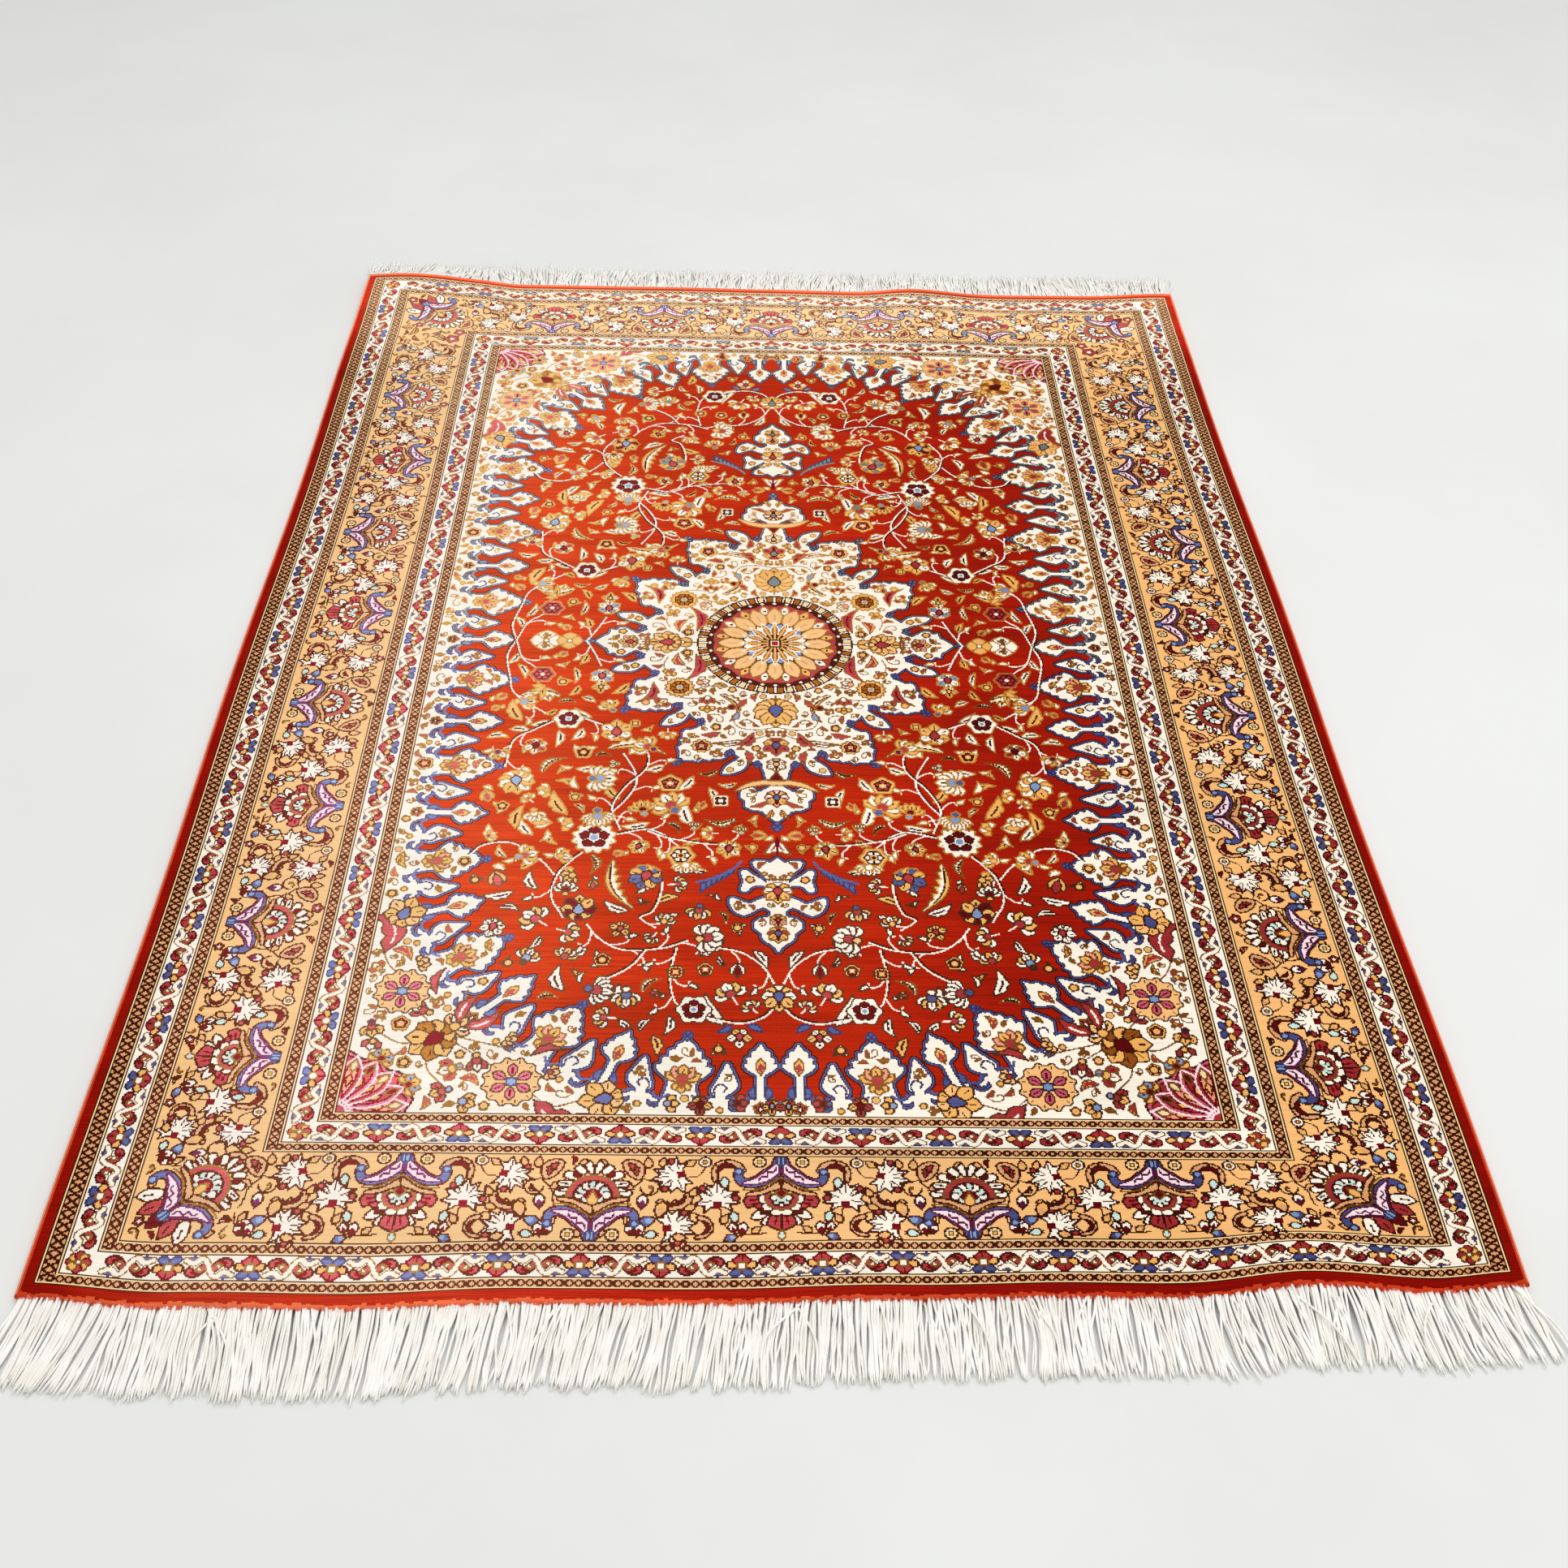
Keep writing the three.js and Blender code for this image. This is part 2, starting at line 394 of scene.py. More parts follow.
def blossom(chart, at, radius, petals, body, inner, eye, lobes=None, turn=90, edge="gold"):
    """An open flower: a scalloped disc with teardrop petals and an eye."""
    lobes = lobes or 2 * petals
    chart.shape(place(ring(radius, lobes, 0.16, 8 * lobes), at, turn), body, edge, 1.3)
    for i in range(petals):
        angle = turn + 360 * (i + 0.5) / petals
        petal(chart, at, angle, 0.2 * radius, 0.66 * radius, 0.5 * radius, inner, "brown")
        if radius > 14:
            dot(chart, beside(at, angle + 180 / petals, 0.8 * radius), 0.8, "brown")
    dot(chart, at, max(0.2 * radius, 1.6), eye, body)


def lotus(chart, at, turn, radius, body, other, heart, petals, edge="gold"):
    """A lotus palmette: petals all the way round, longest at its tip."""
    for i in range(petals):
        angle = 360 * i / petals
        reach = radius * (0.8 + 0.2 * math.cos(math.radians(angle)))
        petal(chart, at, turn + angle, 0.1 * radius, reach, 0.58 * radius, other if i % 2 else body, edge)
        stroke(chart, at, turn + angle, 0.55 * reach, 0.78 * reach, "brown", 1.0)
    kernel = both_sides([(-0.25 * radius, 0), (0, 0.26 * radius), (0.42 * radius, 0.05 * radius)])
    chart.shape(place(curve(kernel, True, 3), at, turn), heart, "brown")


def bud(chart, at, turn, length, body, heart, edge="gold"):
    for angle in (-24, 24):
        petal(chart, at, turn + angle, 0, 0.85 * length, 0.36 * length, body, edge)
    petal(chart, at, turn, 0.15 * length, length, 0.4 * length, heart, edge)


def berries(chart, at, turn):
    for step, side in ((0, -2.6), (0, 2.6), (4.4, 0)):
        dot(chart, beside(at, turn, step, side), 2.3, "ivory", "gold")
        dot(chart, beside(at, turn, step, side), 0.8, "brown")


def vine(chart, points):
    """A pale stem with a dark line along one side."""
    path = curve(points, steps=6)
    chart.line(path + (1.0, -1.2), "brown", 2.2)
    chart.line(path, "ivory", 1.5)


forms = (fan, blossom, lotus, bud, berries, vine)
print("larger forms:", ", ".join(form.__name__ for form in forms))

# %% [markdown]
# ## Filling bare ground
# A Persian ground is never left bare: whatever room the large forms leave is taken up by
# curls, buds and leaves. Placing them all by hand would take a long table. Instead the
# script measures how far every bare knot lies from the next form, puts a small plant in the
# widest gap, and goes on until only narrow gaps remain. Its turns come from a seeded
# generator, so the pattern is the same in every run.

# %% Filling bare ground
CURL = [(-1.0, -0.2), (-0.5, 0.35), (0.1, 0.45), (0.5, 0.1), (0.25, -0.25), (-0.05, -0.1)]


def grow(mask, round_off):
    """Widens a mask by one knot, to the sides alone or to the corners as well."""
    wide = mask.copy()
    wide[1:] |= mask[:-1]
    wide[:-1] |= mask[1:]
    side = wide.copy() if round_off else mask.copy()
    wide[:, 1:] |= side[:, :-1]
    wide[:, :-1] |= side[:, 1:]
    return wide


def empty_depth(chart, ground):
    """How many knots deep each knot lies in a ground that is still bare."""
    reached = np.pad(chart.knots != NUMBER[ground], 1, constant_values=True)
    depth = np.zeros(reached.shape, int)
    step = 0
    while not reached.all():
        step += 1
        wider = grow(reached, step % 2 == 0)
        depth[wider & ~reached] = step
        reached = wider
    return depth[1:-1, 1:-1]


def curl(chart, at, turn, size, yarn):
    chart.line(place(curve(CURL), at, turn, size), yarn, 1.2)


def middle_leaf(chart, at, turn, size, width, *looks):
    """A leaf that has its middle at a place, and not its foot."""
    leaf(chart, beside(at, turn, -size), turn, 2 * size, width * size, *looks)


def fill_ground(chart, ground, sizes, margin, plants, seed):
    """Puts small plants wherever a ground is still bare, the widest places first."""
    chance = np.random.default_rng(seed)
    filled = 0
    for least in sizes:
        depth = empty_depth(chart, ground)
        while depth.max() >= least:
            row, column = np.unravel_index(depth.argmax(), depth.shape)
            size = min(depth[row, column], sizes[0]) - margin
            spot = chart.low + (column + 0.5, row + 0.5)
            plant, *values = plants[filled % len(plants)]
            plant(chart, spot, chance.uniform(0, 360), size, *values)
            reach = int(1.6 * size) + 2
            depth[max(row - reach, 0):row + reach, max(column - reach, 0):column + reach] = 0
            filled += 1
    return filled


print("depth of a bare chart 40 knots wide:", empty_depth(Chart((0, 40), (0, 40), "tan"), "tan").max())

# %% [markdown]
# ## Borders
# A rug is framed like a picture. From the edge inwards come a plain red edge, then narrow
# and wide stripes with a trellis between them: a meander of small flowers, the main border
# of palmettes on tan, and a second meander round the field. The weaver turns each stripe
# at the corner, so a knot belongs to the outermost stripe that it reaches from either side.
# The rug's two halves mirror each other, so the chart holds its right half alone.

# %% Stripes
HALF_WIDE, HALF_LONG = 500, 700
STRIPES = [
    # name, width along the sides, width along the ends, in knots from the edge inwards
    ("edge", 10, 10),
    ("outer trellis", 15, 10),
    ("outer meander", 20, 18),
    ("second trellis", 13, 10),
    ("border", 79, 71),
    ("third trellis", 12, 10),
    ("inner meander", 21, 19),
    ("inner trellis", 12, 10),
]
GROUNDS = {"edge": "edge red", "border": "tan", "outer meander": "ivory", "inner meander": "ivory"}
side_marks = np.cumsum([side for name, side, end in STRIPES])
end_marks = np.cumsum([end for name, side, end in STRIPES])
FIELD_WIDE = HALF_WIDE - int(side_marks[-1])
FIELD_LONG = HALF_LONG - int(end_marks[-1])

half = Chart((0, HALF_WIDE), (-HALF_LONG, HALF_LONG), "ivory")
across = np.broadcast_to(np.arange(HALF_WIDE)[None, :] + 0.5, half.knots.shape)
along = np.broadcast_to(np.arange(-HALF_LONG, HALF_LONG)[:, None] + 0.5, half.knots.shape)
from_side = HALF_WIDE - across
from_end = HALF_LONG - abs(along)
side_stripe = np.searchsorted(side_marks, from_side, side="right")
end_stripe = np.searchsorted(end_marks, from_end, side="right")
print(len(STRIPES), "stripes round a field of", 2 * FIELD_WIDE, "by", 2 * FIELD_LONG, "knots")

# %% Trellis and grounds of the stripes
TRELLIS_PITCH = 6.4
TRELLIS_STROKE = 1.25


def trellis(where, deep, width, run):
    """A row of crosses between fine dark and cream lines."""
    rim = 3 if width > 11 else 2
    level = (deep - width / 2) / (width - 2 * rim)
    steps = run / TRELLIS_PITCH
    crossed = np.minimum(abs((steps + level) % 1 - 0.5), abs((steps - level) % 1 - 0.5))
    depth = np.minimum(deep, width - deep)
    knots = np.full(half.knots.shape, NUMBER["pink tan"], np.uint8)
    knots[crossed < TRELLIS_STROKE / TRELLIS_PITCH] = NUMBER["brown"]
    for wide, yarn in ((rim, "brown"), (2, "cream"), (1, "brown")):
        knots[depth < wide] = NUMBER[yarn]
    half.knots[where] = knots[where]


for number, (name, side, end) in enumerate(STRIPES):
    in_side = (side_stripe == number) & (end_stripe >= number)
    in_end = (end_stripe == number) & (side_stripe > number)
    if name in GROUNDS:
        half.knots[in_side | in_end] = NUMBER[GROUNDS[name]]
        continue
    deep_side = from_side - (side_marks[number] - side)
    deep_end = from_end - (end_marks[number] - end)
    corner = in_side & (end_stripe == number)
    as_end = in_end | (corner & (deep_end / end < deep_side / side))
    trellis(in_side & ~as_end, deep_side, side, along)
    trellis(as_end, deep_end, end, across)
print("crosses along the outer trellis of a side:", int(2 * HALF_LONG / TRELLIS_PITCH))

# %% Edge of the rug
# The sides are overcast in bright silk. At the near end the last rows show their bright cut
# ends as tufts. Along the far end a narrow glint of bright red is painted sheen, where the
# pile is seen at a grazing angle.
TUFT_WIDE, TUFT_LONG = 3, (0.0, 2.8)
FAR_GLINT = 6
tufts = np.random.default_rng(2).uniform(*TUFT_LONG, HALF_WIDE // TUFT_WIDE + 1)
tufts = np.repeat(tufts, TUFT_WIDE)[:HALF_WIDE]
EDGE_LINES = [
    # where, yarn
    (np.minimum(from_side, from_end) - STRIPES[0][1] == 0.5, "brown"),
    ((from_end < tufts) & (along < 0), "rim red"),
    # painted sheen: a narrow bright glint along the far end
    ((from_end < FAR_GLINT) & (along > 0), "rim red"),
    (from_side < 3, "rim red"),
    (from_side < 1, "salmon"),
]
for where, yarn in EDGE_LINES:
    half.knots[where] = NUMBER[yarn]
print("bright knots on the edge:", half.count("rim red"))

# %% [markdown]
# ## Meander stripes
# A white stem winds from side to side through each narrow stripe, with a small flower in
# every bend, turned outwards and inwards by turns. Its winding is built from one S-shaped
# scroll with leaves, drawn again and again, and mirrored at every second place.

# %% Meander stripes
STRIPE_FLOWER = [
    # yarn, yarn of the outline, points
    ("blue", "navy", [(-1.5, 1), (-3, 5.5), (-6.5, 8), (-8.2, 4.5), (-6.5, 0.8)]),
    ("amber", "brown", [(0.5, 2.5), (-2.4, 6), (-0.5, 10), (3, 9.5), (3.6, 5)]),
    ("rose", "wine", [(1.2, 0), (2.2, 5), (5, 6), (8.6, 0)]),
]
STRIPE_SCROLL = [
    ("rose", "brown", [(3.5, -2.5), (7.2, -9), (4.5, -15), (0, -13.5), (1.5, -8), (-4, -4), (-0.5, -1.5)]),
    ("wine", None, [(4.6, -5), (5.6, -9), (3.6, -12), (2.2, -9)]),
    ("blue", "navy", [(-4.5, -7.5), (-7.8, -10), (-6.8, -15), (-4, -12.5)]),
]
SCROLL_LINE = [(-5.5, -16), (-3, -10.5), (-6.6, -6), (-4, -2), (4, 2), (6.6, 6), (3, 10.5), (5.5, 16)]


def stripe_middle(name):
    """How far a stripe's middle line lies from the rug's own middle, across and along."""
    number = [row[0] for row in STRIPES].index(name)
    side = HALF_WIDE - side_marks[number] + STRIPES[number][1] / 2
    end = HALF_LONG - end_marks[number] + STRIPES[number][2] / 2
    return side, end


def stripe_flower(at, turn):
    """A small flower with a rose point, two gold petals and two blue ones."""
    half.draw(STRIPE_FLOWER, at, turn, mirror=True)
    dot(half, at, 3.2, "ivory", "gold")


def stripe_scroll(at, turn, flip):
    """An S-shaped white scroll with a rose leaf and a blue one at either end."""
    for half_turn in (0, 180):
        half.draw(STRIPE_SCROLL, at, turn + half_turn, flip=flip)
    path = place(curve(SCROLL_LINE), at, turn, flip=flip)
    half.line(path, "gold", 5.0)
    half.line(path, "ivory", 3.0)
    for way in (-1, 1):
        eye = place([(1.2 * way, 6.4 * -way)], at, turn, flip=flip)[0]
        dot(half, eye, 1.8, "ivory", "gold")


def corner_flower(at):
    for angle in range(0, 360, 90):
        petal(half, at, angle, 1, 8.6, 7, "rose", "wine")
        petal(half, at, angle + 45, 1, 8, 7, "amber", "gold")
    dot(half, at, 2.2, "ivory", "gold")


def weave_meander(name, side_units, end_first, end_pitch, end_units):
    side, end = stripe_middle(name)
    pitch = 2 * end / side_units
    for i in range(side_units):
        start = -end + pitch * i
        if i:
            stripe_flower((side, start), 180 * (i % 2))
        stripe_scroll((side, start + pitch / 2), 0, i % 2 == 0)
    for way in (-1, 1):
        for i in range(end_units):
            spot = end_first + end_pitch * i
            stripe_flower((spot, way * end), 90 + 180 * (i % 2))
            stripe_scroll((spot + end_pitch / 2, way * end), 90, i % 2 == 0)
        if end_first > 0:
            stripe_scroll((0, way * end), 90, False)
        corner_flower((side, way * end))
    return side_units - 1 + 2 * end_units


outer_flowers = weave_meander("outer meander", 26, 27, 54, 8)
inner_flowers = weave_meander("inner meander", 22, 0, 57, 6)
print("flowers in the meanders of half the rug:", outer_flowers, "and", inner_flowers)

# %% [markdown]
# ## Palmettes
# The main border is a row of palmettes, large lotus flowers in a blue calyx, that look
# inwards and outwards by turns. There are two kinds, one with a fringe of white petals
# and one with a rose tip. Every motif is a short list of shapes: it points along its own
# first axis, and its shapes are drawn on one side and mirrored to the other. A shape
# without a yarn is only a line.

# %% Palmettes
CALYX = [
    ("blue", "brown", [(-35, 4), (-28, 7), (-22, 14), (-17, 20), (-16, 25), (-19, 27), (-23, 26.5), (-25, 30),
                       (-21, 33), (-14, 32), (-9.5, 28), (-8, 21), (-9, 14), (-13, 7), (-19, 0.3)]),
    ("blush", "plum", [(-30, 2), (-26, 7), (-20.5, 13), (-15.5, 19.5), (-13.5, 25), (-11.5, 27), (-10.7, 21),
                       (-11.7, 14), (-15.6, 6.3), (-21.5, 1)]),
    (None, "plum", [(-26, 3.5), (-21.5, 5), (-21.5, 9.5), (-17.5, 9.5), (-17.5, 14), (-14, 15.5)]),
    (None, "gold", [(-17, 0), (-12, 7), (-7.5, 14), (-6, 21), (-6.5, 27)]),
    ("pink tan", "brown", [(-15, 0), (-10, 7), (-5.8, 14), (-4, 23), (-1, 24), (-1.5, 15), (-4.5, 8),
                           (-8, 0)]),
    ("pale blue", "navy", [(-35, 0), (-33.5, 3), (-28.5, 2.5), (-27, 0)]),
]
TIPPED_HEAD = [
    ("ivory", "brown", [(9, 9), (11, 17), (17, 21), (18.5, 16), (15, 10)]),
    ("ivory", "brown", [(13, 4), (16, 11), (21.5, 14), (23, 9), (18, 3)]),
    ("rose", "brown", [(0, 11), (-2, 17), (-0.5, 24), (4, 26), (8.5, 23), (7.5, 19), (9.5, 16), (6, 11)]),
    (None, "wine", [(2, 13), (2.5, 22)]),
    (None, "wine", [(5, 13), (5.6, 20)]),
    ("wine", "brown", [(7, 8), (9, 14), (13.5, 14), (12.5, 9)]),
    ("rose", "brown", [(13, 1), (16, 8), (22, 10), (25, 6), (27, 0), (20, 0)]),
    (None, "wine", [(16, 3.4), (22, 4.4)]),
]
FRINGED_HEAD = [
    ("ivory", "brown", [(2, 16), (0, 25), (5, 26.5), (7, 16)]),
    ("ivory", "brown", [(8, 15), (8.5, 24), (13, 23.5), (12.5, 14)]),
    ("ivory", "brown", [(13, 12), (16.5, 21), (21.5, 18.5), (18, 10)]),
    ("ivory", "brown", [(18, 8), (23.5, 14), (27, 10), (21, 5)]),
    ("ivory", "brown", [(19, 3), (26, 6.5), (30, 4.5), (29, 1.8), (20, 0.4)]),
    ("wine", "brown", [(15, 10), (17.5, 14.5), (20.5, 13), (18.5, 9.5)]),
    (None, "brown", [(4, 19), (4.5, 23.5)]),
    (None, "brown", [(10.3, 18), (11, 22)]),
]
CORNER_PETALS = [(-146, "ivory"), (146, "ivory"), (-163, "rose"), (163, "rose"), (180, "wine")]


def arch(radius, stretch):
    """Most of a disc, left open where a flower's head sits in its calyx."""
    angle = np.radians(np.linspace(-105, 105, 16))
    return np.stack([radius * np.cos(angle), stretch * radius * np.sin(angle)], 1)


def beads(spot, turn, radius, count, size, bodies, edge):
    """Scallops: a half ring of dots about the direction that a flower points in."""
    for i, angle in enumerate(np.linspace(-85, 85, count)):
        dot(half, beside(spot, turn + angle, radius), size, bodies[i % len(bodies)], edge)


def fringed_heart(at, turn):
    half.shape(place(arch(17.5, 1.04), at, turn), "rose", "gold")
    half.shape(place(arch(12.8, 1.06), at, turn), "wine", "brown")
    beads(at, turn, 9.6, 7, 3.4, ("ivory", "aqua"), "brown")
    dot(half, at, 7.5, "aqua")
    beads(at, turn, 4.4, 5, 2.5, ("wine",), None)
    petal(half, at, turn + 180, -4, 9, 7, "amber", "gold")


def tipped_heart(at, turn):
    beads(at, turn, 12, 6, 4.2, ("ivory",), "brown")
    half.shape(place(arch(10.5, 1.1), at, turn), "rose", "gold")
    beads(at, turn, 5.2, 5, 2.7, ("ivory", "aqua"), "brown")
    dot(half, at, 4, "aqua")
    half.shape(place([(-9, 0), (-3.5, 4), (1, 0), (-3.5, -4)], at, turn), "wine", "gold")
    petal(half, at, turn, 27, 35, 5, "aqua", "gold")


def palmette(at, turn, fringed, in_corner=False):
    for angle, body in CORNER_PETALS if in_corner else []:
        petal(half, at, turn + angle, 22, 45, 10, body, "brown")
        stroke(half, at, turn + angle, 34, 40, "brown")
    half.draw(FRINGED_HEAD if fringed else TIPPED_HEAD, at, turn, mirror=True)
    heart = fringed_heart if fringed else tipped_heart
    heart(at, turn)
    half.draw(CALYX, at, turn, mirror=True)
    for side in (-1, 1):
        dot(half, beside(at, turn, -21.8, 29.6 * side), 2.8, "pale blue", "navy")
        if not in_corner:
            eye = beside(at, turn, -30.5, 15 * side)
            dot(half, eye, 4.6, "cream", "brown")
            dot(half, eye, 1.6, "amber", "gold")


print("shapes in half a palmette:", len(CALYX + FRINGED_HEAD), "or", len(CALYX + TIPPED_HEAD))

# %% [markdown]
# ## Between the palmettes
# The ground between two palmettes holds ragged white flowers, scrolling leaves, buds and
# drops on thin brown stems. The same group returns all along the border, mirrored at every
# palmette, so one table places it once. A group is stretched a little where palmettes stand
# closer together.

# %% Leaves and white flowers
SCROLLING_LEAVES = {
    "acanthus": [
        ("pink tan", "brown", [(0, 0), (3, -8), (11, -12.5), (19, -11), (24, -4), (24, 5), (21, 4), (19, -3),
                               (13, -6), (7, -3.5), (4, 1)]),
        ("wine", "brown", [(6, -3), (9, -8.5), (16, -9), (20.5, -3.5), (19, -3), (13, -6), (8, -4)]),
        (None, "brown", [(12, -12), (12.5, -8.5)]),
        (None, "brown", [(19, -10), (18, -6)]),
    ],
    "boat": [
        ("pink tan", "brown", [(-12, -2), (-10, 5), (-2, 8.5), (7, 7), (12, 1), (9, -1.5), (5, 2), (0, 3),
                               (-5, 0.5), (-8, -4)]),
        ("wine", "brown", [(-8, -2), (-5, 3.5), (2, 5), (7, 3.5), (2, 3.2), (-4, 1)]),
        (None, "brown", [(-2, 3), (-0.5, 0), (2, 2.5)]),
        (None, "brown", [(3, 3), (5, 0.5), (6.5, 3)]),
    ],
    "frond": [
        ("pink tan", "brown", [(0, 0), (4, -6), (11, -8), (18, -4), (20, 3), (15, 5.5), (8, 5), (3, 3)]),
        ("rose", "brown", [(4, 0), (9, -3.5), (15, -2), (16.5, 1), (10, 1)]),
        (None, "brown", [(7, -1.5), (10, -5)]),
        (None, "brown", [(11, -1.5), (14, -4)]),
        (None, "brown", [(9, -1.5), (11, 2.5)]),
    ],
}
TULIP = [(-2, -4), (-6, -9), (-1, -8.5), (1, -15), (5, -9.5), (10, -13), (10, -7), (17.5, -8), (13.5, -3),
         (19.5, 0.5), (13.5, 3), (17, 8.5), (10, 7), (9, 14), (5, 9), (0, 15), (-1, 8), (-6, 10), (-2, 4)]
TULIP_LINES = [[(3, -4), (2, -11)], [(7, -4), (10, -9)], [(8, -3), (14, -6)], [(9, 0.5), (16, 1)],
               [(8, 3), (14, 6)], [(5, 4), (8, 11)], [(1, 5), (0, 11)], [(13, -8), (16, -5), (15, -2)]]
TULIP_HEART = [(-3, -2.6), (2.6, -2.6), (2.6, 2.6), (-3, 2.6)]
DROPS = {"aqua": ("aqua", None), "blue": ("blue", "pale blue"), "gold": ("amber", "pink tan"),
         "drop": ("ivory", "wine"), "bud": ("ivory", "plum")}


def tulip(at, turn, size):
    """A white flower of ragged petals on a wine-red heart."""
    half.shape(place(TULIP, at, turn, size), "ivory", "brown")
    for points in TULIP_LINES:
        half.line(place(points, at, turn, size), "brown", 1.0)
    for angle, reach in ((72, 13), (-34, 16)):
        dot(half, beside(at, turn + angle, reach * size), 2.3 * size, "rose", "brown")
    half.shape(place(TULIP_HEART, at, turn, size), "wine")


def drop(at, turn, length, body, heart):
    petal(half, at, turn, 0, length, 0.62 * length, body, "brown")
    if heart:
        petal(half, at, turn, 0.12 * length, 0.62 * length, 0.34 * length, heart, None)


print(len(SCROLLING_LEAVES), "scrolling leaves and a white flower of", len(TULIP), "points")

# %% One group between two palmettes
BETWEEN = [
    # what, step along from a palmette with its calyx inwards, step out from the stripe's
    # middle, turn from the run of the stripe, size
    ("acanthus", 24, -23, 14, 1.0),
    ("ring", 52, -30, 0, 4.4),
    ("tulip", 43, 6, -86, 1.05),
    ("tulip", 68, -19, 14, 1.05),
    ("tulip", 76, 25, 194, 1.05),
    ("boat", 72, 2, 8, 1.05),
    ("turned acanthus", 56, 15, 98, 0.75),
    ("aqua", 30, 21, -72, 10),
    ("drop", 27, 31, -100, 11),
    ("drop", 31, 29, -70, 9),
    ("blue", 29, 31, 20, 10),
    ("frond", 96, -14, -62, 1.0),
    ("gold", 100, -6, -40, 9),
    ("circle", 89, -8, 0, 6.5),
    ("bud", 94, 10, -95, 12),
    ("blue", 84, 17, 25, 13),
    ("gold", 83, 17, 252, 14),
    ("gold", 98, 13, 60, 9),
    ("drop", 104, 22, 175, 12),
    ("aqua", 92, 31, 190, 10),
    ("drop", 96, 32, 255, 11),
    ("drop", 99, 31, 300, 9),
    ("gold", 91, -34, 95, 10),
    ("gold", 58, -32, 40, 9),
    ("gold", 80, -34, 80, 9),
    ("aqua", 38, -7, -86, 10),
    ("gold", 57, -8, 60, 9),
    ("gold", 57, 7, 20, 9),
    ("gold", 63, 33, -10, 10),
    ("gold", 14, 24, 40, 8),
    ("gold", 36, 14, 60, 9),
    ("gold", 116, 28, 20, 9),
    ("gold", 118, -27, -30, 8),
]
STEMS = [
    [(41, 10), (40, 18), (33, 28), (20, 30), (10, 29)],
    [(106, 14), (104, 23), (95, 31), (82, 31)],
    [(50, -28), (56, -18), (62, -17), (70, -10)],
    [(94, -14), (101, -6), (103, 6), (105, 10)],
    [(84, -12), (91, -14), (96, -17)],
    [(46, 28), (56, 14), (64, 14)],
]
GROUP_LONG = 130


def fill_between(origin, run_turn, reach, flip):
    """Fills the ground between a palmette and the next one, as far as its reach."""

    def spot(step, out):
        return place([(step * reach / GROUP_LONG, out)], origin, run_turn, flip=flip)[0]

    for path in STEMS:
        half.line(curve([spot(*point) for point in path]), "brown", 1.15)
    for what, step, out, turn, size in BETWEEN:
        at = spot(step, out)
        angle = run_turn + (-turn if flip else turn)
        kind = what.split()[-1]
        if kind in SCROLLING_LEAVES:
            half.draw(SCROLLING_LEAVES[kind], at, angle, size, flip=(kind != what) != flip)
        elif what == "tulip":
            tulip(at, angle, size)
        elif what == "ring":
            dot(half, at, size, "ivory", "brown")
            dot(half, at, 0.4 * size, "amber", "gold")
        elif what == "circle":
            half.line(place(ring(size)[:30], at, angle, flip=flip), "brown")
        else:
            drop(at, angle, size, *DROPS[what])


print("a group of", len(BETWEEN), "flowers and leaves on", len(STEMS), "stems")

# %% Weave the main border
SIDE_FIRST, SIDE_PITCH, SIDE_COUNT = -494, 133, 8
END_SPOTS = [0, 130, 262]
CORNER_INSET = 6
side_line, end_line = stripe_middle("border")
side_spots = [SIDE_FIRST + SIDE_PITCH * i for i in range(SIDE_COUNT)]
# a palmette with its calyx inwards starts the filling on both of its sides
for i in range(0, SIDE_COUNT, 2):
    fill_between((side_line, side_spots[i]), 90, SIDE_PITCH, True)
    fill_between((side_line, side_spots[i]), -90, SIDE_PITCH if i else end_line + SIDE_FIRST, False)
fill_between((side_line, side_spots[-1] + SIDE_PITCH), -90, SIDE_PITCH, False)
for way in (-1, 1):
    for spot in END_SPOTS[::2]:
        fill_between((spot, way * end_line), 0, SIDE_PITCH, way < 0)
        if spot:
            fill_between((spot, way * end_line), 180, SIDE_PITCH, way > 0)
for i, spot in enumerate(side_spots):
    palmette((side_line, spot), 180 * (i % 2), i % 2 == 1)
for way in (-1, 1):
    for i, spot in enumerate(END_SPOTS):
        palmette((spot, way * end_line), (90 + 180 * (i % 2)) * way, i % 2 == 1)
    corner_spot = (side_line - CORNER_INSET, way * (end_line - CORNER_INSET))
    palmette(corner_spot, 135 * -way, True, True)
print("palmettes:", SIDE_COUNT, "on a side and", 2 * len(END_SPOTS) - 1, "on an end")


# %% Curls and leaves on what is left of the tan
def brown_curl(chart, at, turn, size):
    curl(chart, at, turn, 1.15 * size, "brown")
    curl(chart, at, turn, 0.75 * size, "gold")


def rose_flower(chart, at, turn, size):
    for angle in range(0, 360, 72):
        petal(chart, at, turn + angle, 0, 1.05 * size, 0.75 * size, "rose", "brown")
    dot(chart, at, 0.3 * size, "ivory")


TAN_PLANTS = [
    (middle_leaf, 1, "pink tan", "brown", 0.25, "brown"),
    (brown_curl,),
    (middle_leaf, 0.8, "amber", "wine", -0.2, "brown"),
    (rose_flower,),
    (brown_curl,),
]
filled = fill_ground(half, "tan", (10, 8, 6, 5), 1.2, TAN_PLANTS, 3)
print("small plants on the tan of half the border:", filled)

# %% [markdown]
# ## The field
# Inside the borders lies the field: a red ground with a star-shaped medallion in its
# middle, set in ivory. The ivory doesn't end in a plain line. Spades, flags and horns stand
# on its edge and reach into the red like flames. All four quarters mirror each other, so
# one quarter is drawn, from the rug's middle to a corner, and copied later. The edge is a
# smooth line, and three outlines are set on it at even steps.

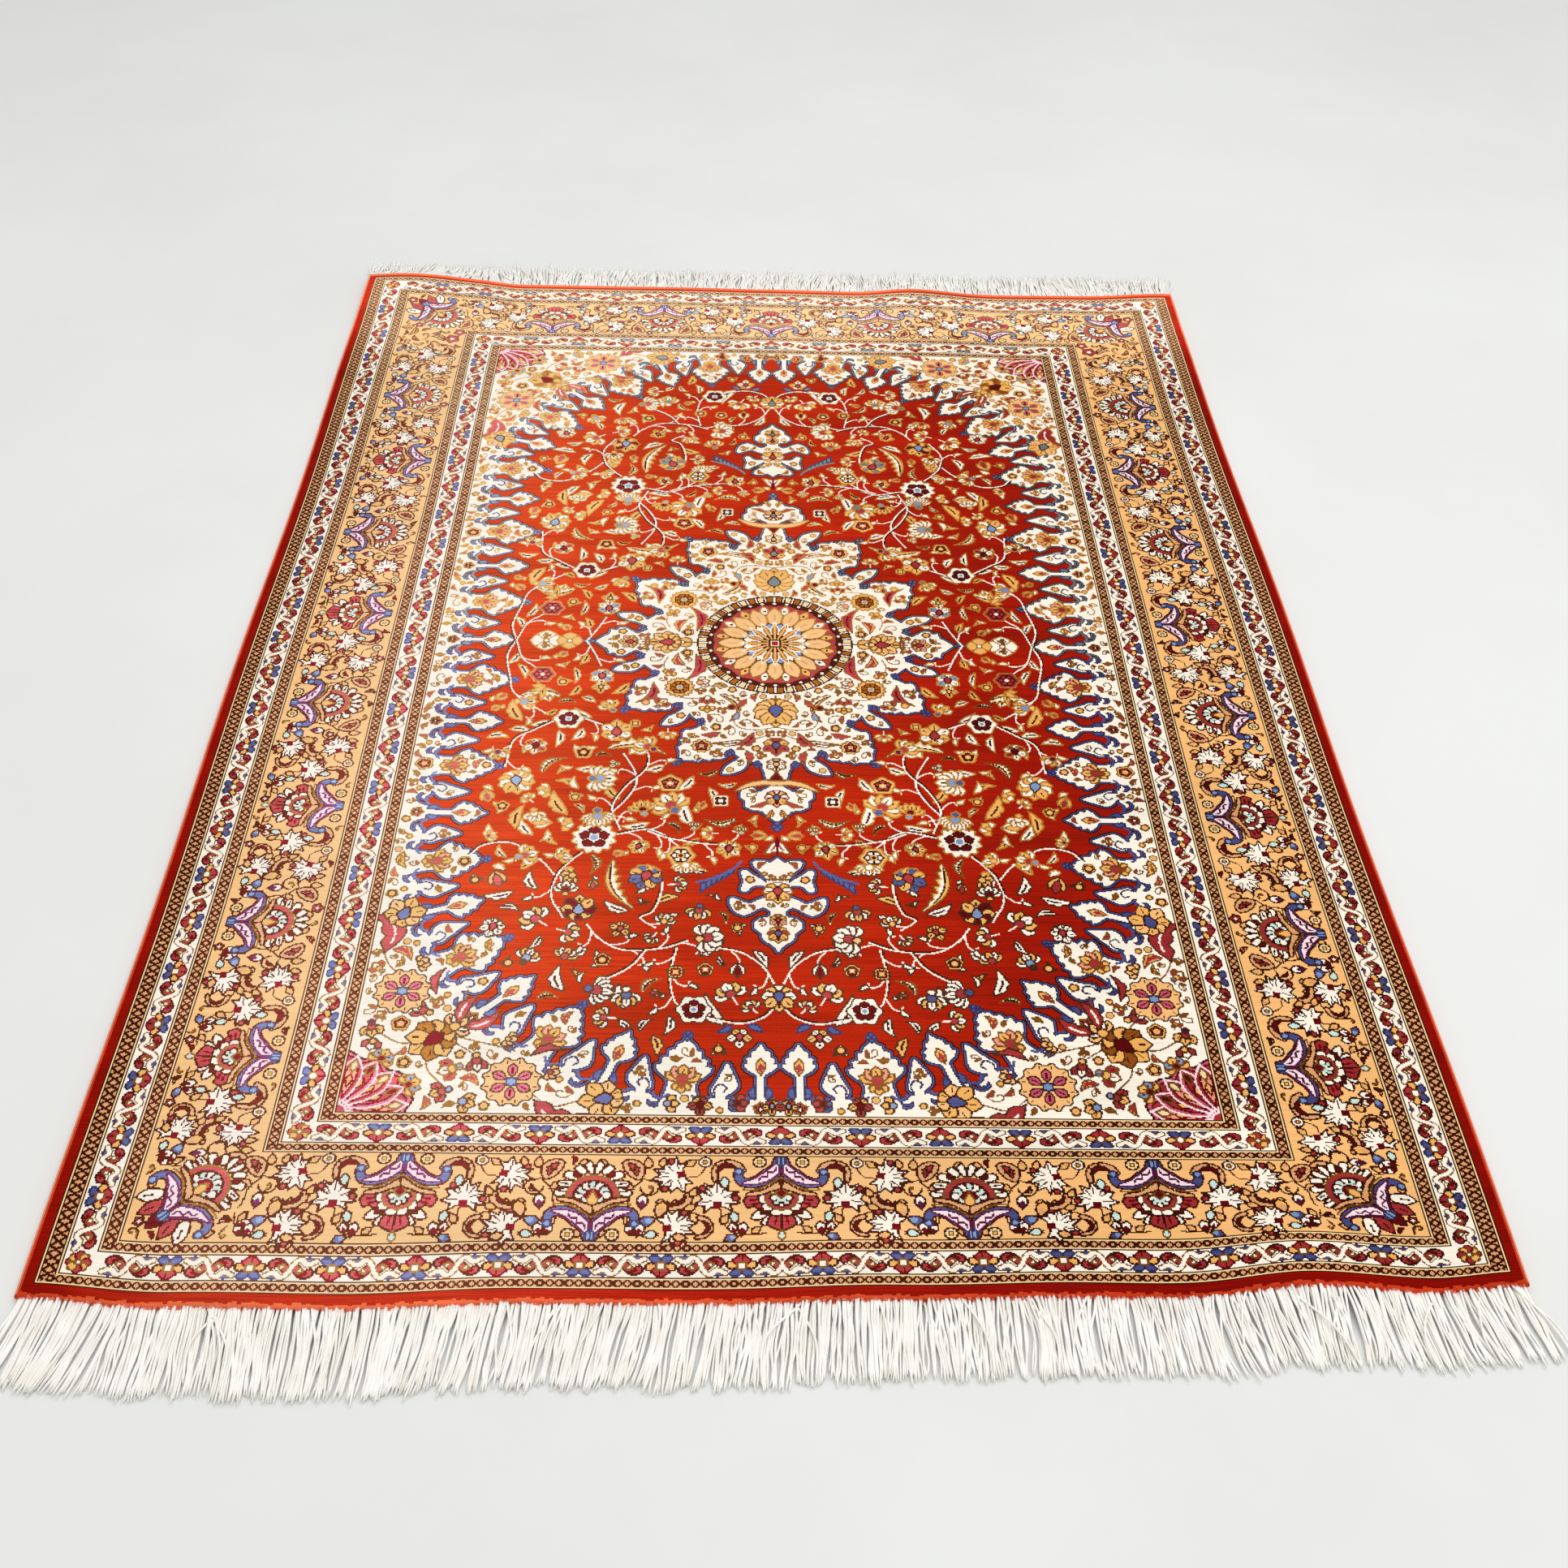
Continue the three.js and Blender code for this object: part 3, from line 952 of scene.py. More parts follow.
# %% Edge of the red field
quarter = Chart((0, FIELD_WIDE), (0, FIELD_LONG), "ivory")
EDGE_LINE = [(296, -40), (296, 60), (296, 180), (296, 290), (286, 348), (264, 398), (234, 441), (197, 476),
             (156, 503), (108, 521), (55, 527), (0, 528), (-40, 528)]
SPADE_STEP = 58.5


def walk(path, step, start=0.0):
    """Points at even steps along a line, each with the direction the line runs in."""
    runs = np.diff(path, axis=0)
    lengths = np.concatenate([[0], np.cumsum(np.hypot(runs[:, 0], runs[:, 1]))])
    marks = np.arange(start, lengths[-1], step)

    def spots_at(marks):
        return np.stack([np.interp(marks, lengths, path[:, i]) for i in (0, 1)], 1)

    run = spots_at(marks + 4) - spots_at(marks - 4)
    return spots_at(marks), np.degrees(np.arctan2(run[:, 1], run[:, 0]))


SPADE = [(-14, 8), (-5, 4), (2, 2.8), (19, 2.4), (23, 4), (26, 9), (31, 12.5), (32.5, 9.5), (37, 10.5),
         (38.5, 7), (43, 7), (44.5, 3.5), (51, 0)]
FLAG = [(-14, 14), (0, 12), (10, 10), (16, 12), (21, 18), (27, 20.5), (28.5, 16), (34, 17), (35.5, 12),
        (41, 12), (42.5, 7.5), (47.5, 6.5), (49, 3), (55, 0)]
HORN = [(-8, -9), (1, -6.5), (7, -10), (15, -6.5), (24, -3), (32, 0.5), (27, 3.5), (19, 7), (12, 9),
        (6, 5.5), (2, 0.5), (-8, -1)]
HORN_SHIFT = 3
HOOK = [(-6, 3), (-6, -4), (-2, -10), (5, -11.5), (9, -8), (8, -4), (5, -6.5), (1, -5), (3, 0), (5, 3)]

edge_path = curve(EDGE_LINE, steps=8)
inside_edge = np.vstack([edge_path, [(-40, -40)]])
quarter.fill(inside_edge, "field red")
spots, turns = walk(edge_path, SPADE_STEP / 2, start=40.0)
# the red bays between spade and horn hang a little below the line
bays, bay_turns = walk(edge_path, SPADE_STEP / 2, start=40.0 + SPADE_STEP / 4)
for i, (at, turn) in enumerate(zip(bays, bay_turns)):
    dot(quarter, beside(at, turn, 0, 4), 8.5, "field red")
    hook = curve(HOOK, True, 3) * (-1 if i % 2 else 1, 1)
    quarter.fill(place(hook, at, turn), "field red")
for i, (at, turn) in enumerate(zip(spots, turns)):
    if i % 2 == 0:
        one_side = FLAG if i % 4 else SPADE
        quarter.fill(place(curve(both_sides(one_side), True, 2), at, turn + 90), "ivory")
    else:
        near_spade = 1 if i % 4 == 3 else -1
        at = beside(at, turn, HORN_SHIFT * near_spade)
        quarter.fill(place(curve(HORN, True, 4), at, turn + 90, flip=near_spade > 0), "ivory")
print(len(spots), "spades, flags and horns on the edge of a quarter")

# %% [markdown]
# ## Medallion and pendants
# The medallion is a star of ivory with tips, flags and horns like the field's own edge,
# and a pendant hangs from it at both ends. They are cut out of the red as plain outlines
# first. A blue and a dark line then go round everything that touches the red at once,
# which is less work than outlining each piece, and keeps the lines even.

# %% Medallion and pendants
STAR_BASE = [(142, 0), (134, 9), (123, 19), (121, 34), (112, 44), (106, 60), (98, 82), (88, 91), (80, 98),
             (74, 108), (64, 116), (58, 135), (48, 151), (36, 157), (28, 163), (18, 168), (11, 177), (8, 192),
             (0, 192)]
STAR_TIP = [(-6, 12), (4, 12), (10, 16), (15, 20), (21, 21), (25, 17), (30, 17.5), (31, 11), (36, 8), (41, 2),
            (46, 0)]
STAR_FLAG = [(-8, 20), (3, 21), (8, 25), (14, 23), (17, 19), (21, 18.5), (24, 13), (29, 13), (32, 7), (40, 0)]
STAR_HORN = [(-8, -5), (2, -4.5), (9, -3.5), (17, -4), (28, 1), (24, 5), (17, 8), (10, 8.5), (4, 6),
             (-1, 3.5), (-8, 5)]
STAR_PARTS = [
    # outline, across, along, turn
    ("tip", 126, 0, 0),
    ("horn", 124, 31, 20),
    ("flag", 104, 71, 39),
    ("horn", 81, 100, 39),
    ("flag", 57, 137, 45),
    ("horn", 27, 162, 42),
]
STAR_BAYS = [(129, 20), (114, 47), (90, 93), (69, 115), (41, 157), (17, 172)]
PENDANT = [(188, 9), (195, 5), (201, 10), (204, 15), (199, 21), (200, 27), (205, 31), (211, 31), (216, 27),
           (222, 27), (227, 20), (228, 13), (234, 8), (241, 0)]
CROWN = [(284, 0), (289, 6), (287, 11), (288, 20), (294, 19), (300, 14), (307, 10), (312, 9)]
UPPER_ARM = [(309, 12), (304, 19), (298, 26), (300, 30), (310, 28), (320, 30), (322, 26), (316, 20),
             (315, 12), (320, 6)]
LOWER_ARM = [(326, 7), (331, 16), (335, 24), (329, 36), (333, 39), (342, 36), (348, 28), (344, 20), (339, 12),
             (344, 6)]
FOOT = [(349, 7), (351, 14), (356, 19), (363, 18), (367, 13), (374, 12), (380, 4), (387, 0)]


def upright(side):
    """Closes a half outline that runs along the rug, and turns it to the rug's own axes."""
    return both_sides(side)[:, ::-1]


quarter.fill(np.vstack([curve(STAR_BASE, steps=3), [(-30, 192), (-30, -30), (142, -30)]]), "ivory")
for name, x, y, turn in STAR_PARTS:
    if name == "horn":
        quarter.fill(place(curve(STAR_HORN, True, 3), (x, y), turn), "ivory")
    else:
        side = STAR_FLAG if name == "flag" else STAR_TIP
        quarter.fill(place(both_sides(curve(side, steps=3)), (x, y), turn), "ivory")
for spot in STAR_BAYS:
    dot(quarter, spot, 5.5, "field red")
quarter.fill(upright(curve(PENDANT, steps=3)), "ivory")
quarter.fill(upright(curve(CROWN + UPPER_ARM + LOWER_ARM + FOOT, steps=3)), "ivory")
print("red knots left in a quarter:", quarter.count("field red"))


# %% Blue edging wherever ivory meets the red
def edge_with(chart, ground, yarns):
    """Lays lines of yarn one knot wide along the edge of a ground, on its own side."""
    red = chart.knots == NUMBER[ground]
    reached = ~red
    for i, yarn in enumerate(yarns):
        wider = grow(reached, i % 2 == 0)
        chart.knots[wider & ~reached & red] = NUMBER[yarn]
        reached = wider


BAY_ARC = np.radians((205, 235, 270, 305, 335))
edge_with(quarter, "field red", ["navy", "blue", "brown"])
for at, turn in zip(bays, bay_turns):
    arc = 6.2 * np.stack([np.cos(BAY_ARC), np.sin(BAY_ARC)], 1) + (0, 4)
    quarter.line(place(curve(arc, steps=3), at, turn), "blue", 2.2)
print("blue knots on the edges of a quarter:", quarter.count("blue"))

# %% Filling of the spades, flags and horns
HORN_CURL = [(3, -4), (8, -5), (13, -1), (10, 4), (6, 2)]


def trefoil(chart, at, turn, size=1.0):
    for step, side in ((0, 0), (4, 2.6), (4, -2.6), (7, 0)):
        dot(chart, place([(step, side)], at, turn, size)[0], 2.5 * size, "blue", "navy")


for i, (at, turn) in enumerate(zip(spots, turns)):
    up = turn + 90
    if i % 4 == 0:
        petal(quarter, beside(at, up, 22), up, 0, 15, 7, "amber", "gold")
        petal(quarter, beside(at, up, 24), up, 0, 9, 4, "rose", None)
        lotus(quarter, beside(at, up, -9), up, 7, "rose", "rose", "blush", 6)
        for side in (-1, 1):
            leaf(quarter, beside(at, up, 0, 4.5 * side), up, 12, 6, "blue", None, 0.15 * side, "navy")
    elif i % 4 == 2:
        trefoil(quarter, beside(at, up, 53), up, 0.8)
        fan(quarter, beside(at, up, 12), up, 17, 5, 110, "amber", "salmon", "rose")
        fan(quarter, beside(at, up, 12), up - 180, 9, 3, 100, "amber", None, "rose")
    else:
        dot(quarter, beside(at, up, -10), 2.6, "amber", "gold")
        quarter.line(place(curve(HORN_CURL), at, up, flip=i % 4 == 3), "navy", 1.5)
print("filled", len(spots), "shapes on the edge")

# %% [markdown]
# ## Rosette
# The middle of the medallion is a rosette of sixteen petals in a dark ring. It is built
# like a pile of paper discs, from the outside inwards: each ring of petals covers the feet
# of the ring outside it. Only a quarter of it falls on the chart.

# %% Rosette
PETALS = 16
PETAL_STEP = 360 / PETALS
ROSETTE_BLOCK = [(64, -2.9), (72.6, -3.4), (72.6, 3.4), (64, 2.9)]
ROSETTE_DART = [(6, -2.6), (22, -3.6), (33, 0), (22, 3.6), (6, 2.6)]


def square(reach):
    return np.array([(-reach, -reach), (reach, -reach), (reach, reach), (-reach, reach)], float)


def rosette(chart, at):
    at = np.asarray(at, float)
    chart.shape(ring(73, steps=72) + at, "ivory", "brown")
    for i in range(3 * PETALS):
        block = place(ROSETTE_BLOCK, at, PETAL_STEP / 3 * (i + 0.5))
        chart.shape(block, "rust" if i % 2 else "cream", "brown")
    chart.fill(ring(64.5, steps=72) + at, "brown")
    for i in range(2 * PETALS):
        dot(chart, beside(at, PETAL_STEP / 2 * i, 61.6), 1.6, "ivory")
    chart.fill(ring(59.6, PETALS, 0.04, 96) + at, "rose")
    for i in range(PETALS):
        petal(chart, at, PETAL_STEP * (i + 0.5), 40, 58, 8, "ivory" if i % 2 else "amber", "gold")
        dot(chart, beside(at, PETAL_STEP * (i + 0.5), 50), 1.4, "wine")
    chart.fill(ring(45, steps=48) + at, "wine")
    for i in range(PETALS):
        petal(chart, at, PETAL_STEP * i, 22, 55, 15, "tan", "gold")
    for i in range(PETALS):
        stroke(chart, at, PETAL_STEP * i, 36, 43, "pink tan", 2.0)
    for i in range(PETALS):
        petal(chart, at, PETAL_STEP * (i + 0.5), 16, 31, 8, "pale blue" if i % 2 else "ivory", "brown")
    for i in range(PETALS):
        chart.shape(place(ROSETTE_DART, at, PETAL_STEP * i), "rust", "ivory", 1.3)
        stroke(chart, at, PETAL_STEP * i, 12, 27, "amber", 2.0)
    dot(chart, at, 14, "brown")
    for i in range(PETALS):
        stroke(chart, at, PETAL_STEP * i, 6, 13, "amber", 1.6)
    chart.shape(square(5) + at, "ivory", "brown")
    chart.fill(square(2.6) + at, "field red")


rosette(quarter, (0, 0))
for spot in STAR_BAYS:
    trefoil(quarter, spot, math.degrees(math.atan2(-spot[1], -spot[0])), 0.75)
for x, y, turn in ((172, 0, 0), (134, 96, 39), (85, 165, 45)):
    trefoil(quarter, (x, y), turn, 0.9)
print("a rosette of", PETALS, "petals,", len(STAR_BAYS), "trefoils in the bays round it")

# %% [markdown]
# ## Flowers of the medallion
# Ivory between the rosette and the star's tips holds gold and rose flowers on gold stems.
# The table says what stands where: the form, its place across and along from the rug's
# middle, then its direction, its size and its yarns, in the order the form takes them. The
# outline comes last, and is gold if none is named.

# %% Flowers of the medallion
STAR_FILL = [
    (lotus, (0, 95), 90, 25, "amber", "tan", "blue", 13),
    (lotus, (100, 0), 0, 20, "amber", "tan", "rose", 9),
    (lotus, (136, 0), 0, 12, "amber", "salmon", "rose", 7),
    (blossom, (88, 66), 14, 8, "amber", "rust", "pale blue"),
    (leaf, (74, 18), 78, 38, 11, "rose", "wine", 0.22),
    (fan, (62, 78), 88, 12, 3, 70, "rose", None, "ivory"),
    (fan, (62, 92), 90, 9, 3, 100, "amber", None, "amber"),
    (feather, (50, 76), 118, 34, 11, 0.2),
    (dot, (40, 93), 3.6, "wine", "gold"),
    (leaf, (34, 100), 60, 14, 6, "pale blue"),
    (leaf, (27, 82), 45, 15, 6, "rose"),
    (leaf, (50, 128), 10, 17, 7, "rose"),
    (leaf, (20, 128), 40, 24, 10, "rose", "wine", 0.25),
    (blossom, (66, 146), 9, 5, "amber", "rose", "pale blue"),
    (leaf, (30, 138), 8, 26, 7, "ivory", "brown"),
    (lotus, (0, 143), 90, 15, "rose", "amber", "blue", 7),
    (lotus, (0, 168), 90, 11, "ivory", "ivory", "amber", 7),
    (leaf, (26, 152), 95, 17, 7, "rose"),
    (leaf, (112, 60), 62, 32, 9, "rose", "wine", 0.25),
    (dot, (118, 88), 3.4, "amber", "gold"),
    (fan, (96, 42), 60, 9, 3, 90, "amber", None, "rose", "pale blue"),
    (fan, (72, 60), 200, 12, 3, 70, "ivory", None, "salmon"),
    (leaf, (78, 0), 20, 14, 7, "amber"),
    (lotus, (0, 210), 90, 13, "amber", "ivory", "blue", 9, "wine"),
    (leaf, (8, 216), 25, 16, 5, "rose"),
    (leaf, (4, 227), 60, 11, 5, "amber", "rust"),
    (lotus, (0, 320), 90, 15, "amber", "ivory", "rose", 9),
    (dot, (11, 302), 2.2, "amber", "gold"),
    (lotus, (0, 352), 90, 9, "salmon", "amber", "rose", 7),
    (lotus, (0, 366), 90, 11, "amber", "rose", "blue", 9),
]
for motif, *values in STAR_FILL:
    motif(quarter, *values)
STAR_STEMS = [
    [(0, 120), (18, 124), (34, 120), (40, 104)],
    [(88, 80), (76, 82), (66, 80)],
    [(100, 22), (104, 34), (100, 44)],
    [(0, 76), (0, 84)],
    [(74, 0), (86, 0)],
    [(116, 0), (126, 0)],
    [(10, 132), (34, 142), (58, 143)],
]
for stem in STAR_STEMS:
    quarter.line(curve(stem), "gold", 1.1)
# gold arc where the pendant hangs from the star, and its blue finial
arc = [(0, 189), (14, 190), (26, 194), (36, 203), (33, 203), (24, 199), (12, 196), (0, 196)]
quarter.shape(curve(arc, True, 4), "tan", "gold")
quarter.shape(np.array([(-7, 190), (0, 178), (7, 190)]), "wine", "gold")
trefoil(quarter, (0, 243), 90, 1.0)
for side in (-12, 12):
    leaf(quarter, (0, 264), 90 + 3 * side, 19, 9, "ivory", "rose")
leaf(quarter, (0, 260), 90, 19, 7, "ivory", "rose", edge="wine")
print(len(STAR_FILL), "flowers and leaves on", len(STAR_STEMS), "stems in a quarter of the medallion")

# %% [markdown]
# ## Flowers of the field
# Pale vines wind over the red from flower to flower, with short shoots and many leaves.
# Leaves come first, then the vines, with shoots where the red is free, then the flowers over
# both. In a real rug these are drawn by hand, and all four quarters repeat them.

# %% Large flowers of the field
FIELD_FLOWERS = [
    (blossom, (153, 262), 19, 5, "ivory", "wine", "pale blue", 12),
    (blossom, (186, 112), 14, 5, "ivory", "wine", "pale blue", 6),
    (blossom, (65, 445), 14, 5, "ivory", "wine", "pale blue", 6),
    (fan, (157, 190), 180, 19, 9, 200, "ivory", None, "pale blue", "blue"),
    (fan, (152, 232), 98, 18, 9, 130, "ivory", None, "pale blue", "blue"),
    (fan, (60, 373), 190, 18, 7, 190, "ivory", None, "rose", "tan"),
    (lotus, (225, 192), 100, 19, "amber", "ivory", "pale blue", 11),
    (lotus, (142, 130), -88, 18, "amber", "ivory", "rose", 7),
    (lotus, (212, 147), 84, 13, "ivory", "rose", "wine", 7),
    (fan, (110, 150), -32, 17, 6, 120, "amber", "ivory", "rose", "plum"),
    (fan, (88, 226), -60, 21, 7, 150, "amber", "ivory", "rose", "blue"),
    (fan, (113, 231), -75, 15, 5, 100, "amber", None, "wine", "pale blue"),
    (fan, (232, 89), 180, 16, 5, 90, "ivory", "amber", "pale blue", "tan"),
    (fan, (144, 426), 168, 18, 7, 130, "ivory", None, "rose", "blue"),
    (blossom, (92, 195), 11, 5, "amber", "rose", "ivory", 5),
    (blossom, (48, 216), 8, 4, "ivory", "brown", "ivory", 4),
    (blossom, (80, 282), 12, 6, "amber", "ivory", "brown", 6),
    (fan, (76, 290), 95, 14, 7, 130, "ivory", None, "ivory"),
    (lotus, (107, 304), 70, 18, "blue", "amber", "rose", 9),
    (lotus, (115, 271), 60, 10, "amber", "ivory", "rose", 7),
    (lotus, (125, 363), 60, 11, "amber", "amber", "rose", 5),
    (lotus, (226, 362), 70, 13, "ivory", "ivory", "rose", 7),
    (lotus, (40, 272), 80, 13, "amber", "ivory", "rose", 7),
    (lotus, (160, 345), -90, 18, "amber", "wine", "pale blue", 9),
    (blossom, (215, 50), 12, 6, "rose", "rose", "ivory", 6),
    (leaf, (218, 62), 100, 26, 6, "amber", "brown"),
    (leaf, (222, 66), 150, 14, 6, "amber"),
    (leaf, (212, 66), 40, 14, 6, "amber"),
    (lotus, (160, 50), 90, 14, "ivory", "pale blue", "rose", 7),
    (lotus, (160, 66), 90, 10, "amber", "ivory", "amber", 5),
    (fan, (148, 98), -60, 14, 4, 90, "amber", "ivory", "amber", "blue"),
    (lotus, (30, 470), 90, 12, "ivory", "amber", "rose", 5),
    (fan, (117, 428), 92, 16, 5, 100, "ivory", "amber", "blue", "ivory"),
    (fan, (198, 398), 245, 14, 5, 110, "ivory", "amber", "pale blue", "umber"),
    (fan, (168, 396), 250, 13, 5, 110, "amber", "ivory", "rose"),
    (lotus, (0, 430), 90, 17, "amber", "ivory", "blue", 9),
    (fan, (92, 358), 250, 12, 5, 110, "ivory", "amber", "amber"),
    (bud, (32, 398), 90, 15, "ivory", "wine"),
    (bud, (190, 245), 0, 17, "ivory", "amber"),
    (fan, (181, 247), 200, 10, 4, 140, "amber", "ivory", "amber"),
    (blossom, (57, 405), 7, 5, "amber", "rose", "ivory", 5),
    (blossom, (80, 408), 7, 4, "amber", "rose", "amber", 4),
    (blossom, (126, 117), 5, 4, "amber", "brown", "amber", 4),
    (fan, (212, 285), 200, 15, 5, 120, "ivory", "amber", "rose", "pale blue"),
    (fan, (165, 305), 20, 13, 4, 110, "amber", None, "amber"),
    (fan, (172, 325), 270, 13, 5, 120, "ivory", None, "wine", "amber"),
    (fan, (182, 285), 200, 12, 4, 100, "amber", "ivory", "amber"),
    (fan, (195, 205), 10, 11, 4, 110, "ivory", "amber", "amber"),
    (fan, (206, 232), 100, 13, 4, 100, "ivory", None, "ivory", "amber"),
    (fan, (63, 340), 80, 14, 5, 110, "amber", "ivory", "rose", "blue"),
    (fan, (246, 155), 120, 13, 4, 90, "ivory", "amber", "plum"),
    (fan, (243, 262), 190, 9, 4, 100, "ivory", "amber", "plum"),
]
print(len(FIELD_FLOWERS), "flowers in a quarter of the field")

# %% Leaves and vines of the field
FIELD_LEAVES = {
    # colour: across, along, turn, length, width
    "ivory": [
        (122, 138, 70, 22, 12), (98, 172, 20, 18, 9), (72, 186, 50, 24, 9), (58, 200, 100, 24, 8),
        (204, 115, 20, 17, 8), (193, 128, 86, 22, 8), (172, 125, 60, 18, 9), (166, 110, -40, 20, 9),
        (237, 127, 170, 20, 8), (205, 88, -80, 16, 9), (158, 175, 10, 17, 8), (108, 244, 10, 24, 9),
        (72, 247, -80, 32, 12), (58, 300, -20, 15, 7), (46, 366, 60, 30, 12), (20, 385, 120, 22, 8),
        (42, 460, -65, 34, 13), (112, 462, -40, 12, 7), (118, 445, -80, 26, 9), (150, 385, 20, 20, 9),
        (120, 345, -30, 24, 9), (205, 260, -60, 22, 9), (235, 268, -70, 22, 9), (176, 82, 150, 14, 7),
        (240, 20, 60, 18, 7), (238, 36, 110, 22, 7), (186, 40, 95, 22, 6), (214, 325, 10, 26, 9),
        (188, 372, 60, 16, 7),
    ],
    "amber": [
        (135, 62, 45, 20, 9), (228, 115, -70, 30, 12), (178, 235, -65, 32, 12), (198, 100, 30, 12, 6),
        (135, 215, -60, 22, 9), (98, 335, 200, 20, 9), (220, 252, -100, 28, 10), (210, 300, -140, 18, 7),
        (176, 20, 70, 16, 7), (180, 66, 60, 16, 7), (95, 470, 100, 20, 9), (66, 262, 30, 14, 6),
    ],
}
VINES = [
    [(150, 245), (140, 232), (128, 214), (121, 195), (124, 178), (134, 158)],
    [(132, 252), (140, 226), (130, 200), (114, 178), (112, 160), (118, 148)],
    [(134, 258), (110, 252), (95, 258), (82, 272)],
    [(108, 254), (90, 262), (60, 268), (40, 268)],
    [(162, 280), (172, 292), (180, 306), (183, 330), (172, 352)],
    [(183, 305), (196, 288), (220, 270), (243, 272), (254, 284)],
    [(244, 56), (240, 74), (226, 90), (208, 104)],
    [(200, 116), (216, 128), (232, 142), (236, 176)],
    [(170, 112), (158, 118), (148, 122)],
    [(152, 360), (142, 374), (122, 386), (92, 384), (72, 376)],
    [(80, 384), (84, 412), (80, 436), (72, 446)],
    [(104, 386), (116, 404), (140, 420)],
    [(46, 383), (28, 388), (12, 402), (4, 418)],
    [(54, 453), (30, 458), (12, 452), (2, 440)],
    [(244, 0), (250, 24), (244, 56)],
    [(244, 0), (236, 26), (222, 40)],
    [(178, 0), (170, 16), (162, 36)],
    [(96, 300), (94, 320), (100, 344), (110, 352), (98, 362)],
]
print(sum(map(len, FIELD_LEAVES.values())), "leaves and", len(VINES), "vines in a quarter of the field")

# %% Weave vines, leaves and flowers
TENDRIL = [(0, 0), (4, 3), (9, 8), (10, 13), (6, 15)]
TENDRIL_STEP = 20.0
FEATHERS = [
    # place, turn, length, width, bend
    ((148, 151), 172, 52, 17, 0.18),
    ((136, 288), 110, 58, 15, -0.16),
    ((196, 80), 0, 36, 17, -0.2),
]


def on_ground(chart, points, ground):
    """Whether all of the points lie on knots of one ground."""
    columns, rows = np.floor(points - chart.low).astype(int).T
    inside = (columns >= 0) & (columns < chart.knots.shape[1]) & (rows >= 0) & (rows < chart.knots.shape[0])
    return inside.all() and (chart.knots[rows, columns] == NUMBER[ground]).all()


def tendrils(chart, points, ground):
    """Short side shoots with a small leaf, now on one side of a vine and now on the other."""
    spots, turns = walk(curve(points, steps=6), TENDRIL_STEP, 8.0)
    for i, (at, turn) in enumerate(zip(spots, turns)):
        shoot = place(curve(TENDRIL), at, turn, flip=i % 2 == 0)
        if on_ground(chart, shoot[4:], ground):
            chart.line(shoot, "ivory", 1.4)
            leaf(chart, shoot[-4], turn + (60 if i % 2 else -60), 10, 5, "ivory", edge="umber")


for body, rows in FIELD_LEAVES.items():
    for x, y, turn, length, width in rows:
        leaf(quarter, (x, y), turn, length, width, body, "brown", edge="umber")
for points in VINES:
    vine(quarter, points)
    tendrils(quarter, points, "field red")
for values in FEATHERS:
    feather(quarter, *values)
for motif, *values in FIELD_FLOWERS:
    motif(quarter, *values, edge="umber")
for at, turn in (((143, 171), 180), ((70, 245), 90), ((30, 250), 90)):
    berries(quarter, at, turn)
# flowers on the rug's cross axis
for at, size, body in (((216, 0), 15, "ivory"), ((194, 0), 12, "amber")):
    for i in range(4):
        petal(quarter, at, 45 + 90 * i, 1, 0.9 * size, 0.4 * size, "amber", "umber")
        petal(quarter, at, 90 * i, 1, size, 1.05 * size, body, "umber")
        stroke(quarter, at, 45 + 90 * i, 0.25 * size, 0.75 * size, "rose" if size > 13 else "wine", 2.4)
    dot(quarter, at, 2.4, "ivory", "gold")
# blue sprigs beside the long pendant's head, and two blue leaves at a lotus
for step in range(6):
    leaf(quarter, (36 + 5 * step, 296 + 3 * step), 40 + 8 * step, 13, 5, "blue", edge="navy")
for x, turn in ((24, 150), (36, 30)):
    leaf(quarter, (x, 460), turn, 13, 6, "blue", edge="navy")
quarter.line(curve([(30, 288), (36, 296), (50, 306), (66, 312)]), "blue", 2.4)
print("red knots left in a quarter:", quarter.count("field red"))


# %% Small flowers and leaves in what is left of the red
def sickle(chart, at, turn, size):
    feather(chart, beside(at, turn, -size), turn, 2 * size, 0.75 * size, 0.2)


def half_open(chart, at, turn, size):
    foot = beside(at, turn, -0.4 * size)
    fan(chart, foot, turn, 1.3 * size, 5, 130, "ivory", "amber", "rose", edge="umber")
    stroke(chart, at, turn, -size, -0.4 * size, "ivory")


def winged_flower(chart, at, turn, size):
    for angle in (-50, 50):
        leaf(chart, at, turn + 180 + angle, size, 0.5 * size, "ivory", edge="umber")
    blossom(chart, at, 0.62 * size, 5, "amber", "wine", "ivory", 5, edge="umber")


def bud_and_leaf(chart, at, turn, size):
    bud(chart, beside(at, turn, -0.5 * size), turn, 1.4 * size, "amber", "rose", "umber")
    leaf(chart, beside(at, turn, -size), turn + 40, 0.9 * size, 0.5 * size, "ivory", edge="umber")


def two_leaves(chart, at, turn, size):
    start = beside(at, turn, -size)
    leaf(chart, start, turn + 18, 1.8 * size, 0.6 * size, "amber", "brown", -0.2, "umber")
    leaf(chart, start, turn - 30, 1.3 * size, 0.5 * size, "ivory", None, 0.2, "umber")


PALE_LEAF = (middle_leaf, 0.8, "ivory", "brown", 0.2, "umber")
RED_PLANTS = [(sickle,), (half_open,), PALE_LEAF, (winged_flower,), (bud_and_leaf,), (two_leaves,)]
filled = fill_ground(quarter, "field red", (16, 13, 11, 9), 2.4, RED_PLANTS, 7)
print("small plants on the red of a quarter:", filled)

# %% [markdown]
# ## Corners of the field
# Ivory fills the four corners, with a rose fan in the very corner, two open flowers, a
# dark lotus between them and rose leaves on gold stems. The bare rest of the ivory then
# gets small plants, as the tan and the red did.


